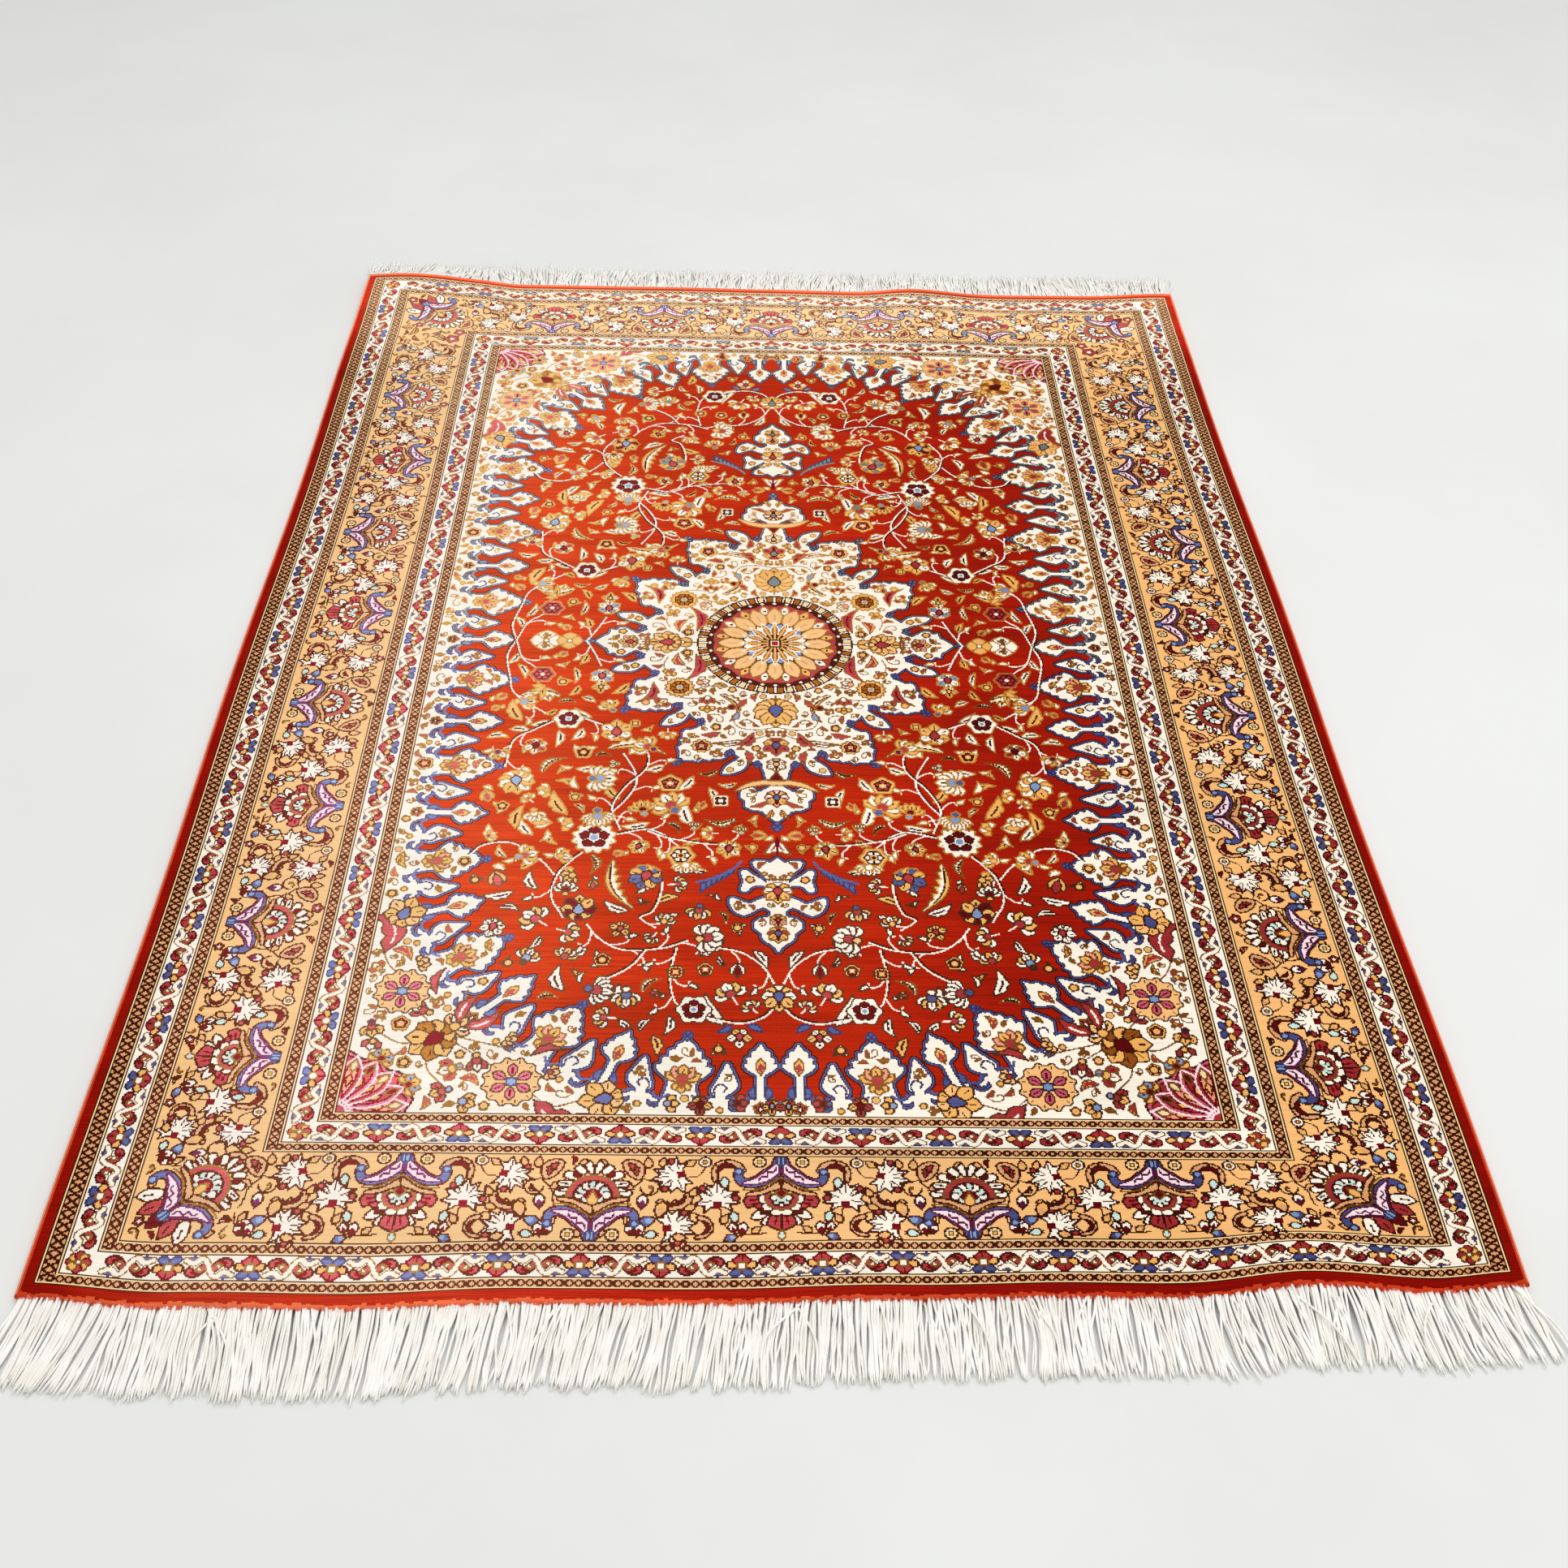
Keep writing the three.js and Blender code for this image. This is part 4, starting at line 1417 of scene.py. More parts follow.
# %% Corners of the field
def open_rose(chart, at, radius):
    chart.shape(ring(radius, 12, 0.13, 96) + at, "tan", "umber", 1.4)
    for i in range(12):
        stroke(chart, at, 30 * i + 15, 0.78 * radius, 0.9 * radius, "brown", 1.0)
    for i in range(6):
        petal(chart, at, 60 * i + 30, 0.2 * radius, 0.74 * radius, 0.34 * radius, "pink", "umber")
        stroke(chart, at, 60 * i + 30, 0.34 * radius, 0.58 * radius, "wine", 1.2)
    dot(chart, at, 0.17 * radius, "pale blue", "navy")


def corner_fan(chart, at, radius):
    chart.shape(ring(radius, 14, 0.10, 112) + at, "pink", "brown", 2.0)
    chart.shape(ring(radius - 4, 14, 0.10, 112) + at, "rose", "wine")
    for number, angle in enumerate((188, 206, 225, 244, 262)):
        petal(chart, at, angle, 8, radius - 4, 16, "pink" if number % 2 else "rose", "blush")
        petal(chart, at, angle, 14, radius - 8, 9, "rose" if number % 2 else "salmon", "wine")
        petal(chart, at, angle, 0.42 * radius, 0.62 * radius, 4.5, "amber", "wine")
        tip = "wine" if number % 2 else "cream"
        petal(chart, at, angle, 0.66 * radius, 0.86 * radius, 5.5, tip, "gold")
    for angle in (207, 243):
        foot = beside(at, angle, radius - 3)
        fan(chart, foot, angle, 12, 5, 150, "amber", "pale blue", "wine")


corner_fan(quarter, (FIELD_WIDE, FIELD_LONG), 54)
CORNER_FLOWERS = [
    (lotus, (256, 474), 40, 24, "amber", "rust", "wine", 9),
    (fan, (246, 466), 222, 16, 5, 120, "tan", "ivory", "amber"),
    (leaf, (242, 460), 245, 30, 11, "rose", "ivory", 0.12),
    (leaf, (236, 465), 212, 30, 11, "rose", "ivory", -0.12),
    (leaf, (308, 392), -72, 44, 20, "rose", "ivory", -0.28),
    (leaf, (178, 530), 164, 44, 20, "rose", "ivory", -0.28),
    (lotus, (299, 352), 250, 21, "amber", "tan", "blue", 7),
    (lotus, (126, 528), 10, 21, "amber", "tan", "blue", 7),
    (fan, (266, 450), -20, 14, 3, 60, "rose", "ivory", "rose", "amber"),
    (fan, (224, 492), 100, 14, 3, 60, "rose", "ivory", "rose", "amber"),
    (fan, (306, 462), 100, 13, 3, 80, "amber", None, "rose", "plum"),
    (fan, (302, 476), 80, 11, 3, 80, "rose", "ivory", "amber"),
    (fan, (242, 522), 20, 13, 3, 80, "rose", "amber", "rose", "pale blue"),
    (fan, (232, 531), 160, 13, 3, 80, "amber", None, "pale blue"),
    (fan, (280, 403), 200, 10, 4, 120, "tan", None, "amber"),
    (fan, (204, 474), 150, 9, 4, 120, "tan", None, "amber"),
    (fan, (170, 504), 150, 9, 4, 120, "tan", None, "rose"),
    (leaf, (262, 432), -100, 26, 7, "rose", None, 0.2),
    (leaf, (184, 490), 190, 26, 7, "rose", None, 0.2),
    (fan, (84, 532), 180, 11, 3, 80, "amber", None, "pale blue"),
    (lotus, (58, 532), 90, 11, "rose", "amber", "wine", 5),
    (fan, (34, 531), 180, 11, 3, 80, "rose", None, "wine", "blue"),
    (lotus, (6, 533), 90, 9, "amber", "rose", "pale blue", 5),
]
CORNER_STEMS = [
    [(256, 474), (280, 480), (300, 470)],
    [(256, 474), (260, 500), (246, 518)],
    [(288, 430), (270, 452), (254, 470), (228, 488), (200, 508)],
    [(254, 470), (240, 440), (238, 428)],
    [(254, 470), (216, 480), (196, 486)],
    [(300, 375), (308, 388), (302, 404), (292, 414)],
    [(145, 530), (165, 536), (176, 528), (184, 520)],
]
for stem in CORNER_STEMS:
    quarter.line(curve(stem), "gold", 1.3)
for motif, *values in CORNER_FLOWERS:
    motif(quarter, *values, edge="umber")
open_rose(quarter, np.array((288, 430)), 22)
open_rose(quarter, np.array((196, 514)), 22)
print(len(CORNER_FLOWERS) + 3, "flowers and leaves in a corner")


# %% Small flowers and tendrils on what is left of the ivory
def rose_leaf(chart, at, turn, size):
    middle_leaf(chart, at, turn, size, 0.9, "amber", None, 0.25)
    leaf(chart, beside(at, turn, -size), turn, 1.8 * size, 0.5 * size, "rose", None, 0.28, None)


def gold_curl(chart, at, turn, size):
    curl(chart, at, turn, 1.1 * size, "gold")
    foot = beside(at, turn, -size, -0.2 * size)
    leaf(chart, foot, turn - 40, size, 0.5 * size, "rose")


def amber_flower(chart, at, turn, size):
    blossom(chart, at, 0.85 * size, 5, "amber", "rose", "pale blue", 5, turn)


def rose_tulip(chart, at, turn, size):
    foot = beside(at, turn, -0.6 * size)
    fan(chart, foot, turn, 1.5 * size, 3, 80, "rose", "ivory", "amber", "pale blue")
    chart.line(place(curve([(-1.2, 0.5), (-0.9, 0.1), (-0.6, 0)]), at, turn, size), "gold", 1.2)


def amber_leaf(chart, at, turn, size):
    middle_leaf(chart, at, turn, size, 0.8, "amber", "rust", -0.2)
    curl(chart, at, turn + 120, 0.8 * size, "gold")


IVORY_PLANTS = [(rose_leaf,), (gold_curl,), (amber_flower,), (amber_leaf,), (rose_tulip,), (gold_curl,)]
filled = fill_ground(quarter, "ivory", (11, 9, 7, 5), 1.3, IVORY_PLANTS, 5)
print("small plants on the ivory of a quarter:", filled)

# %% [markdown]
# ## Field and borders together
# The quarter is mirrored to the far and the near end and set into the borders. A rug takes
# months, and its yarn is dyed lot by lot, so the same yarn isn't the same colour all over:
# in the far part the field's blue came out greyer. Gold and brown lines are made lighter
# from given rows onwards towards the far end.

# %% Field and borders together
FAR_YARN_CHANGES = [
    # yarn, the yarn it becomes, from which row, counted from the middle, how far across
    ("blue", "slate", -15, FIELD_WIDE),
    ("umber", "honey", -300, FIELD_WIDE),
    ("gold", "honey", 20, FIELD_WIDE),
    ("brown", "umber", 380, HALF_WIDE),
]
both_ends = np.vstack([quarter.knots[::-1], quarter.knots])
half.knots[HALF_LONG - FIELD_LONG:HALF_LONG + FIELD_LONG, :FIELD_WIDE] = both_ends
for yarn, new_yarn, first_row, reach in FAR_YARN_CHANGES:
    rows = half.knots[HALF_LONG + first_row:, :reach]
    changed = rows == NUMBER[yarn]
    rows[changed] = NUMBER[new_yarn]
    print("knots from", yarn, "to", new_yarn, "in half the rug:", int(changed.sum()))

# %% [markdown]
# ## The sheet
# Both faces of a knotted rug show its pattern, so the sheet is a closed slab with the same
# knots above and below. It could carry the pattern as a picture, but a picture file isn't
# needed: the mesh is a grid of small patches, each five knots wide and seven rows long, and
# every patch remembers its own knots. The grid is made flat and square, extruded down to
# its thickness, and each point is then moved to where the real rug lies, with its uneven
# ends and soft ripples. The numbers here repeat the CAD model's own.

# %% Lay of the rug, in millimetres
RUG_THICK = 6.0
RIM_ROUND = 1.2
NEAR, FAR = -1, 1
END_FADE = {NEAR: 110.0, FAR: 260.0}
SIDE_WAVE, SIDE_WAVE_LENGTH = 1.4, 610.0
EDGE_WANDER = {
    # end: where across the rug, and how far the edge lies beyond the straight end line
    NEAR: [(-500, 3), (-400, 11), (-290, 14), (-170, 7), (-40, 8), (80, 5), (190, 2), (270, 3),
           (355, -4), (430, -1), (500, -7)],
    FAR: [(-500, 18), (-360, 12), (-310, 7), (-130, 6), (0, 3), (110, 0), (175, 4), (290, -4),
          (400, -3), (500, 0)],
}
RIPPLES = [
    # end, where across, half width, height, reach inwards
    (NEAR, -300, 150, 4, 150),
    (NEAR, 40, 120, 2, 110),
    (NEAR, 350, 110, 5, 130),
    (FAR, -440, 135, 9, 130),
    (FAR, 175, 80, 3, 90),
    (FAR, 480, 90, 3, 90),
]


def smooth(share):
    share = np.clip(share, 0, 1)
    return share * share * (3 - 2 * share)


def wander(end, x):
    """How far an end line lies beyond the straight one."""
    marks, outs = np.array(EDGE_WANDER[end], float).T
    step = np.clip(np.searchsorted(marks, x) - 1, 0, len(marks) - 2)
    share = (x - marks[step]) / (marks[step + 1] - marks[step])
    return outs[step] + (outs[step + 1] - outs[step]) * smooth(share)


def lay(x, y, z):
    """Takes points of the straight, flat rug to where they really lie."""
    laid_y, laid_z = y.copy(), z.copy()
    for end in (NEAR, FAR):
        laid_y += end * wander(end, x) * smooth(1 - (HALF_LONG - end * y) / END_FADE[end])
    for end, middle_x, half_width, height, reach in RIPPLES:
        hump = smooth(1 - abs(x - middle_x) / half_width)
        laid_z += height * hump * smooth(1 - np.maximum(HALF_LONG - end * y, 0) / reach)
    wave = SIDE_WAVE * np.sin(2 * math.pi * y / SIDE_WAVE_LENGTH + x / HALF_WIDE)
    return np.stack([x + wave * (x / HALF_WIDE) ** 2, laid_y, laid_z], -1)


print("highest ripple:", max(row[3] for row in RIPPLES), "mm, over a rug", RUG_THICK, "mm thick")

# %% Patches of the sheet
PATCH_ACROSS, PATCH_ALONG = 5, 7
COLUMNS, ROWS = 2 * HALF_WIDE // PATCH_ACROSS, 2 * HALF_LONG // PATCH_ALONG
RIM_RINGS = 3

bm = bmesh.new()
bmesh.ops.create_grid(bm, x_segments=COLUMNS, y_segments=ROWS, size=1.0)
column_layer = bm.verts.layers.float.new("column")
row_layer = bm.verts.layers.float.new("row")
patch_layer = bm.faces.layers.int.new("patch")
height_layer = bm.verts.layers.float.new("height")
for vert in bm.verts:
    vert[column_layer] = round((vert.co.x + 1) / 2 * COLUMNS)
    vert[row_layer] = round((vert.co.y + 1) / 2 * ROWS)
    vert[height_layer] = 1.0
for face in bm.faces:
    middle_point = face.calc_center_median()
    column = int((middle_point.x + 1) / 2 * COLUMNS)
    face[patch_layer] = int((middle_point.y + 1) / 2 * ROWS) * COLUMNS + column
top_faces = bm.faces[:]
grown = bmesh.ops.extrude_face_region(bm, geom=top_faces, use_keep_orig=True)
for item in grown["geom"]:
    if isinstance(item, bmesh.types.BMVert):
        item[height_layer] = 0.0
        item.co.z = -0.1
bmesh.ops.recalc_face_normals(bm, faces=bm.faces)
walls = [edge for edge in bm.edges if edge.verts[0][height_layer] != edge.verts[1][height_layer]]
bmesh.ops.subdivide_edges(bm, edges=walls, cuts=RIM_RINGS)
for face in bm.faces:
    face.smooth = True
sheet_mesh = bpy.data.meshes.new("rug")
bm.to_mesh(sheet_mesh)
bm.free()


def read_attribute(mesh, name, kind=np.float32):
    values = np.zeros(len(mesh.attributes[name].data), kind)
    mesh.attributes[name].data.foreach_get("value", values)
    return values


column = read_attribute(sheet_mesh, "column")
row = read_attribute(sheet_mesh, "row")
height = read_attribute(sheet_mesh, "height")
patch = read_attribute(sheet_mesh, "patch", np.int32)
print(len(sheet_mesh.polygons), "faces in the sheet")

# %% [markdown]
# ## Where the rows lie
# A weaver beats the rows down by hand, tighter on some days than on others, so the pattern
# isn't spread evenly: here its near border is squeezed, its middle lies nearer, and the
# rows run a little askew. Points move along the rug to follow that. The rim is drawn in at
# the top and the bottom, which rounds it off, and then the whole sheet is laid.

# %% Put the sheet in its place
BORDER_LINE = FIELD_LONG
NEAR_SLIDE, MIDDLE_SLIDE, FAR_SLIDE = 16.0, 1.0, 2.0
SKEW = 4.0
knot_x = column * PATCH_ACROSS - HALF_WIDE
knot_y = row * PATCH_ALONG - HALF_LONG
woven_y = np.interp(knot_y, [-HALF_LONG, -BORDER_LINE, BORDER_LINE, HALF_LONG],
                    [-HALF_LONG, -BORDER_LINE - NEAR_SLIDE, BORDER_LINE - FAR_SLIDE, HALF_LONG])
woven_y -= MIDDLE_SLIDE * smooth(1 - abs(knot_y) / BORDER_LINE)
away_from_end = smooth((HALF_LONG - abs(knot_y)) / (HALF_LONG - BORDER_LINE))
woven_y -= SKEW * knot_x / HALF_WIDE * away_from_end
draw_in = RIM_ROUND * (1 - np.sqrt(np.clip(1 - (2 * height - 1) ** 2, 0, 1)))
flat_x = np.clip(knot_x, draw_in - HALF_WIDE, HALF_WIDE - draw_in)
flat_y = np.clip(woven_y, draw_in - HALF_LONG, HALF_LONG - draw_in)
points = lay(flat_x, flat_y, height * RUG_THICK) * MM
sheet_mesh.vertices.foreach_set("co", points.astype(np.float32).ravel())
sheet_mesh.update()
print("largest shift of a row:", round(float(abs(woven_y - knot_y).max()), 1), "mm")

# %% [markdown]
# ## Knots in the patches
# A mesh attribute holds one number for each face, and a patch has thirty-five knots. Five
# knots fit in one number, as digits do, in base 24, so a patch needs seven numbers, one for
# each of its rows. A map of the sheet, counted in knots, tells the shader later which knot
# of a patch it is on. The rim gets plain red, or salmon where the sides are overcast.

# %% Give every patch its knots
DIGIT = 24
ROUNDING_SLACK = 0.01
chart = np.hstack([half.knots[:, ::-1], half.knots]).astype(np.int64)
packed = chart.reshape(2 * HALF_LONG, COLUMNS, PATCH_ACROSS) @ (DIGIT ** np.arange(PATCH_ACROSS))
packed = packed.reshape(ROWS, PATCH_ALONG, COLUMNS).transpose(0, 2, 1).reshape(-1, PATCH_ALONG)
whole_patch = sum(DIGIT ** np.arange(PATCH_ACROSS))

polygon_count = len(sheet_mesh.polygons)
corner_counts = np.zeros(polygon_count, np.int32)
sheet_mesh.polygons.foreach_get("loop_total", corner_counts)
corners = np.zeros(len(sheet_mesh.loops), np.int32)
sheet_mesh.loops.foreach_get("vertex_index", corners)
owner = np.repeat(np.arange(polygon_count), corner_counts)
lowest = np.full(polygon_count, 2.0)
highest = np.full(polygon_count, -1.0)
np.minimum.at(lowest, owner, height[corners])
np.maximum.at(highest, owner, height[corners])
on_rim = lowest != highest
at_side = np.zeros(polygon_count)
np.maximum.at(at_side, owner, HALF_WIDE - abs(flat_x[corners]))
side_wall = at_side <= RIM_ROUND + ROUNDING_SLACK
rim_yarn = np.where(side_wall, NUMBER["salmon"], NUMBER["rim red"])
for line in range(PATCH_ALONG):
    values = np.where(on_rim, rim_yarn * whole_patch, packed[patch, line])
    layer = sheet_mesh.attributes.new(f"knots_{line}", "FLOAT", "FACE")
    layer.data.foreach_set("value", values.astype(np.float32))

knot_map = sheet_mesh.uv_layers.new(name="knots")
places = np.stack([column[corners] * PATCH_ACROSS, row[corners] * PATCH_ALONG], 1)
knot_map.data.foreach_set("uv", places.astype(np.float32).ravel())
print("yarn numbers up to", int(chart.max()), "in", packed.shape[0], "patches")

# %% [markdown]
# ## A map for baked copies
# Other programs can't look knots up in patches, so for them the colours would have to be
# baked into one square picture. That needs a second map, which fits the square: the
# length of the rug along the bottom, its width up the side, and the rim in two narrow
# strips above. Both faces show the same knots, so they may lie on top of each other.

# %% Map for baked copies
FACES_HIGH = 0.98
SIDE_STRIP, END_STRIP, STRIP_HIGH = 0.985, 0.992, 0.005
long_way = row[corners] / ROWS
short_way = 1 - column[corners] / COLUMNS
strip = np.where(side_wall[owner], SIDE_STRIP, END_STRIP) + STRIP_HIGH * height[corners]
bake_u = np.where((on_rim & ~side_wall)[owner], short_way, long_way)
bake_v = np.where(on_rim[owner], strip, FACES_HIGH * short_way)
bake_map = sheet_mesh.uv_layers.new(name="OFBake")
bake_map.data.foreach_set("uv", np.stack([bake_u, bake_v], 1).astype(np.float32).ravel())
sheet_mesh.uv_layers.active = sheet_mesh.uv_layers["knots"]
for name in ("column", "row", "height", "patch"):
    sheet_mesh.attributes.remove(sheet_mesh.attributes[name])
print("UV maps:", [layer.name for layer in sheet_mesh.uv_layers])

# %% [markdown]
# ## Silk pile
# Each knot is a tuft of cut silk, and the rows of knots show as fine streaks along the
# weft. The shader looks up the number of its row in the patch, takes out the digit of
# its knot, and lets a ramp with hard steps turn that into a yarn colour. Uneven dye and a
# faint gloss keep the colours from looking printed. The sheen of a pile that leans to one
# side is painted into the colour: deep yarns are painted lighter on one side of the rug and
# darker on the other, and the far end is painted paler.

# %% Look up the yarn
silk, tree, shader = new_material("silk pile")


def math_node(operation, a, b=0.0, c=0.0):
    return add_node(tree, "ShaderNodeMath", operation=operation, i0=a, i1=b, i2=c).outputs["Value"]


weave = add_node(tree, "ShaderNodeUVMap", uv_map="knots").outputs["UV"]
split = add_node(tree, "ShaderNodeSeparateXYZ", Vector=weave)
along_row = split.outputs["X"]
along_warp = split.outputs["Y"]
knot_column = math_node("FLOOR", math_node("MODULO", along_row, PATCH_ACROSS))
knot_row = math_node("FLOOR", math_node("MODULO", along_warp, PATCH_ALONG))
row_value = 0.0
for line in range(PATCH_ALONG):
    stored = add_node(tree, "ShaderNodeAttribute", attribute_name=f"knots_{line}").outputs["Fac"]
    row_value = math_node("MULTIPLY_ADD", math_node("COMPARE", knot_row, line, 0.5), stored, row_value)
unit = 0.0
for digit in range(PATCH_ACROSS):
    unit = math_node("MULTIPLY_ADD", math_node("COMPARE", knot_column, digit, 0.5), DIGIT ** digit, unit)
below = math_node("MODULO", row_value, math_node("MULTIPLY", unit, DIGIT))
yarn = math_node("FLOOR", math_node("DIVIDE", math_node("ADD", below, 0.5), unit))
ramp = add_node(tree, "ShaderNodeValToRGB", Fac=math_node("DIVIDE", math_node("ADD", yarn, 0.5), DIGIT))
ramp.color_ramp.interpolation = "CONSTANT"
set_stops(ramp, [(number / DIGIT, colour) for number, colour in enumerate(YARNS.values())])
print(len(ramp.color_ramp.elements), "yarns on the ramp")

# %% Uneven dye and painted sheen
UNEVENNESS = [
    # scale across and along the knots, fineness, spread of the shade
    (0.004, 0.03, 3.0, 0.24),
    (0.02, 0.7, 2.0, 0.30),
    (0.8, 0.8, 2.0, 0.16),
]
PALE_SHARE = 0.3
PAINTED_SHEEN_ACROSS = [
    # how far across the rug, how much painted sheen it gets where the pile faces the light
    (0.00, 0.12), (0.02, 0.20), (0.05, 0.65), (0.12, 1.00), (0.25, 1.00), (0.50, 0.50), (0.74, 0.05),
    (1.00, 0.00),
]
# painted sheen: gamma and shade of deep and pale yarns where the pile leans away from the light, and where it
# faces it
PAINTED_SHEEN_GAMMA, PALE_GAMMA = (1.14, 0.70), (1.25, 0.90)
PAINTED_SHEEN_SHADE = (0.74, 1.19)
DEEP_YARN, LIGHT_YARN = 0.12, 0.55
# painted sheen at the far end: the rows where it starts and where it is full, how much it adds to the painted
# sheen across the rug, and how much paler it paints every yarn
FAR_START, FAR_END, FAR_PAINTED_SHEEN, FAR_GLOW = 1190.0, 1330.0, 0.8, 0.18


def ranged(value, low, high, at_low=0.0, at_high=1.0):
    """Takes a value from one range to another."""
    node = add_node(tree, "ShaderNodeMapRange", Value=value, i1=low, i2=high, i3=at_low, i4=at_high)
    return node.outputs["Result"]


# dye lots first, then rows, and single tufts last, whose grain also makes the bump
shade = 1.0
for wide, long, detail, spread in UNEVENNESS:
    spot = add_node(tree, "ShaderNodeVectorMath", operation="MULTIPLY", i0=weave, i1=(wide, long, 1.0))
    noise = add_node(tree, "ShaderNodeTexNoise", Vector=spot.outputs["Vector"], Scale=1.0, Detail=detail)
    grain = noise.outputs["Fac"]
    shade = math_node("MULTIPLY", ranged(grain, 0.25, 0.75, 1 - spread, 1 + spread), shade)
# Painted sheen: the pile leans to the right. Where it is seen against its lean, deep yarns
# are painted lighter and more orange, and where it leans away they are painted darker, so
# the light that it catches is painted into the colour. Pale yarns hardly change.
share_across = math_node("DIVIDE", along_row, 2.0 * HALF_WIDE)
painted_sheen_ramp = add_node(tree, "ShaderNodeValToRGB", Fac=share_across)
painted_sheen_ramp.color_ramp.interpolation = "EASE"
set_stops(painted_sheen_ramp, [(position, (level, level, level)) for position, level in PAINTED_SHEEN_ACROSS])
# painted sheen grows towards the far end, where the pile is seen at a grazing angle
far_end = ranged(along_warp, FAR_START, FAR_END)
painted_sheen = math_node("MINIMUM", math_node("MULTIPLY_ADD", far_end, FAR_PAINTED_SHEEN, painted_sheen_ramp.outputs["Color"]), 1.0)
lightness = add_node(tree, "ShaderNodeRGBToBW", Color=ramp.outputs["Color"]).outputs["Val"]


def painted_sheen_level(dark, light):
    return ranged(painted_sheen, 0.0, 1.0, dark, light)


def mixed(pale_level, deep_level):
    return ranged(deep, 0.0, 1.0, pale_level, deep_level)


deep = ranged(lightness, DEEP_YARN, LIGHT_YARN, 1.0, 0.0)
# painted sheen: deep yarns get all of it, pale yarns a weaker gamma and no shade
gamma = mixed(painted_sheen_level(*PALE_GAMMA), painted_sheen_level(*PAINTED_SHEEN_GAMMA))
painted_sheen_colour = add_node(tree, "ShaderNodeGamma", Color=ramp.outputs["Color"], Gamma=gamma)
shade = math_node("MULTIPLY_ADD", math_node("SUBTRACT", shade, 1.0), mixed(PALE_SHARE, 1.0), 1.0)
shade = math_node("MULTIPLY", shade, mixed(1.0, painted_sheen_level(*PAINTED_SHEEN_SHADE)))
# painted sheen: the far end is painted paler
shade = math_node("MULTIPLY", shade, math_node("MULTIPLY_ADD", far_end, FAR_GLOW, 1.0))
# colour of the yarn with its uneven dye and the painted sheen
dye_and_painted_sheen = add_node(tree, "ShaderNodeVectorMath", operation="SCALE", i0=painted_sheen_colour.outputs["Color"], Scale=shade)
tree.links.new(dye_and_painted_sheen.outputs["Vector"], shader.inputs["Base Color"])
bump = add_node(tree, "ShaderNodeBump", Height=grain, Strength=0.25, Distance=0.0006)
tree.links.new(bump.outputs["Normal"], shader.inputs["Normal"])
shader.inputs["Roughness"].default_value = 0.62
shader.inputs["Specular IOR Level"].default_value = 0.02
print("silk pile of", len(tree.nodes), "nodes")

# %% The rug itself
rug = bpy.data.objects.new("rug_sheet", sheet_mesh)
sheet_mesh.materials.append(silk)
scene.collection.objects.link(rug)
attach(rug, "root")
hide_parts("rug")
sheet_mesh.calc_loop_triangles()
print("rug of", len(sheet_mesh.loop_triangles), "triangles")

# %% [markdown]
# ## The fringe
# The fringe is the rug's own warp: silk threads that run through the whole weave and come
# out at both ends. They leave the end face under the last row of knots, sink to the floor
# and lie on it in locks, combed to one side here and to the other there. More than a
# thousand threads an end would be slow as separate curves, so each end is one mesh whose
# points are worked out together in arrays, a five-sided tube for every thread. Tufts of the
# last red rows cling to the first millimetres, so every point also stores how far along
# its thread it lies.

# %% How the threads lie
THREADS, LOCK = 1120, 7
THREAD_WIDE = 1.85
THREAD_STEPS, THREAD_SIDES = 11, 5
ROOT_MARGIN, ROOT_SPREAD = 4.0, 0.7
ROOT_INSIDE, ROOT_LEVELS = 0.8, (1.6, 4.9)
LOCK_FAN, LOCK_BOW = 3.0, 1.6
THREAD_BOW, THREAD_WAVE, PILED_UP = 0.9, 0.5, 2.6
STRAY_SHARE, STRAY_SWING = 0.05, 11.0
DRIFT_PITCH = 24.0
TUFT_THREADS, TUFT_REACH = 3, 2.8
FRINGES = [
    # name, end, reach on the left, on the right, unevenness, how wildly it lies, how far a
    # tip may stand up, how far the red tufts reach
    ("near", NEAR, 61.0, 53.0, 3.4, 1.2, 1.5, TUFT_REACH),
    ("far", FAR, 46.0, 54.0, 7.0, 3.2, 4.0, 0.5),
]
# how far the threads' tips lie to the right of their roots: across, shift
COMBED = {
    "near": [(-500, -12), (-434, -17), (-424, -3), (-340, 3), (-230, -8), (-90, -9), (60, -2),
             (220, 2), (318, 8), (334, 13), (350, 2), (380, 6), (500, 12)],
    "far": [(-500, -3), (-420, 5), (-330, -6), (-250, 5), (-120, -4), (0, 6), (130, -6), (260, 4),
            (380, -5), (500, 8)],
}


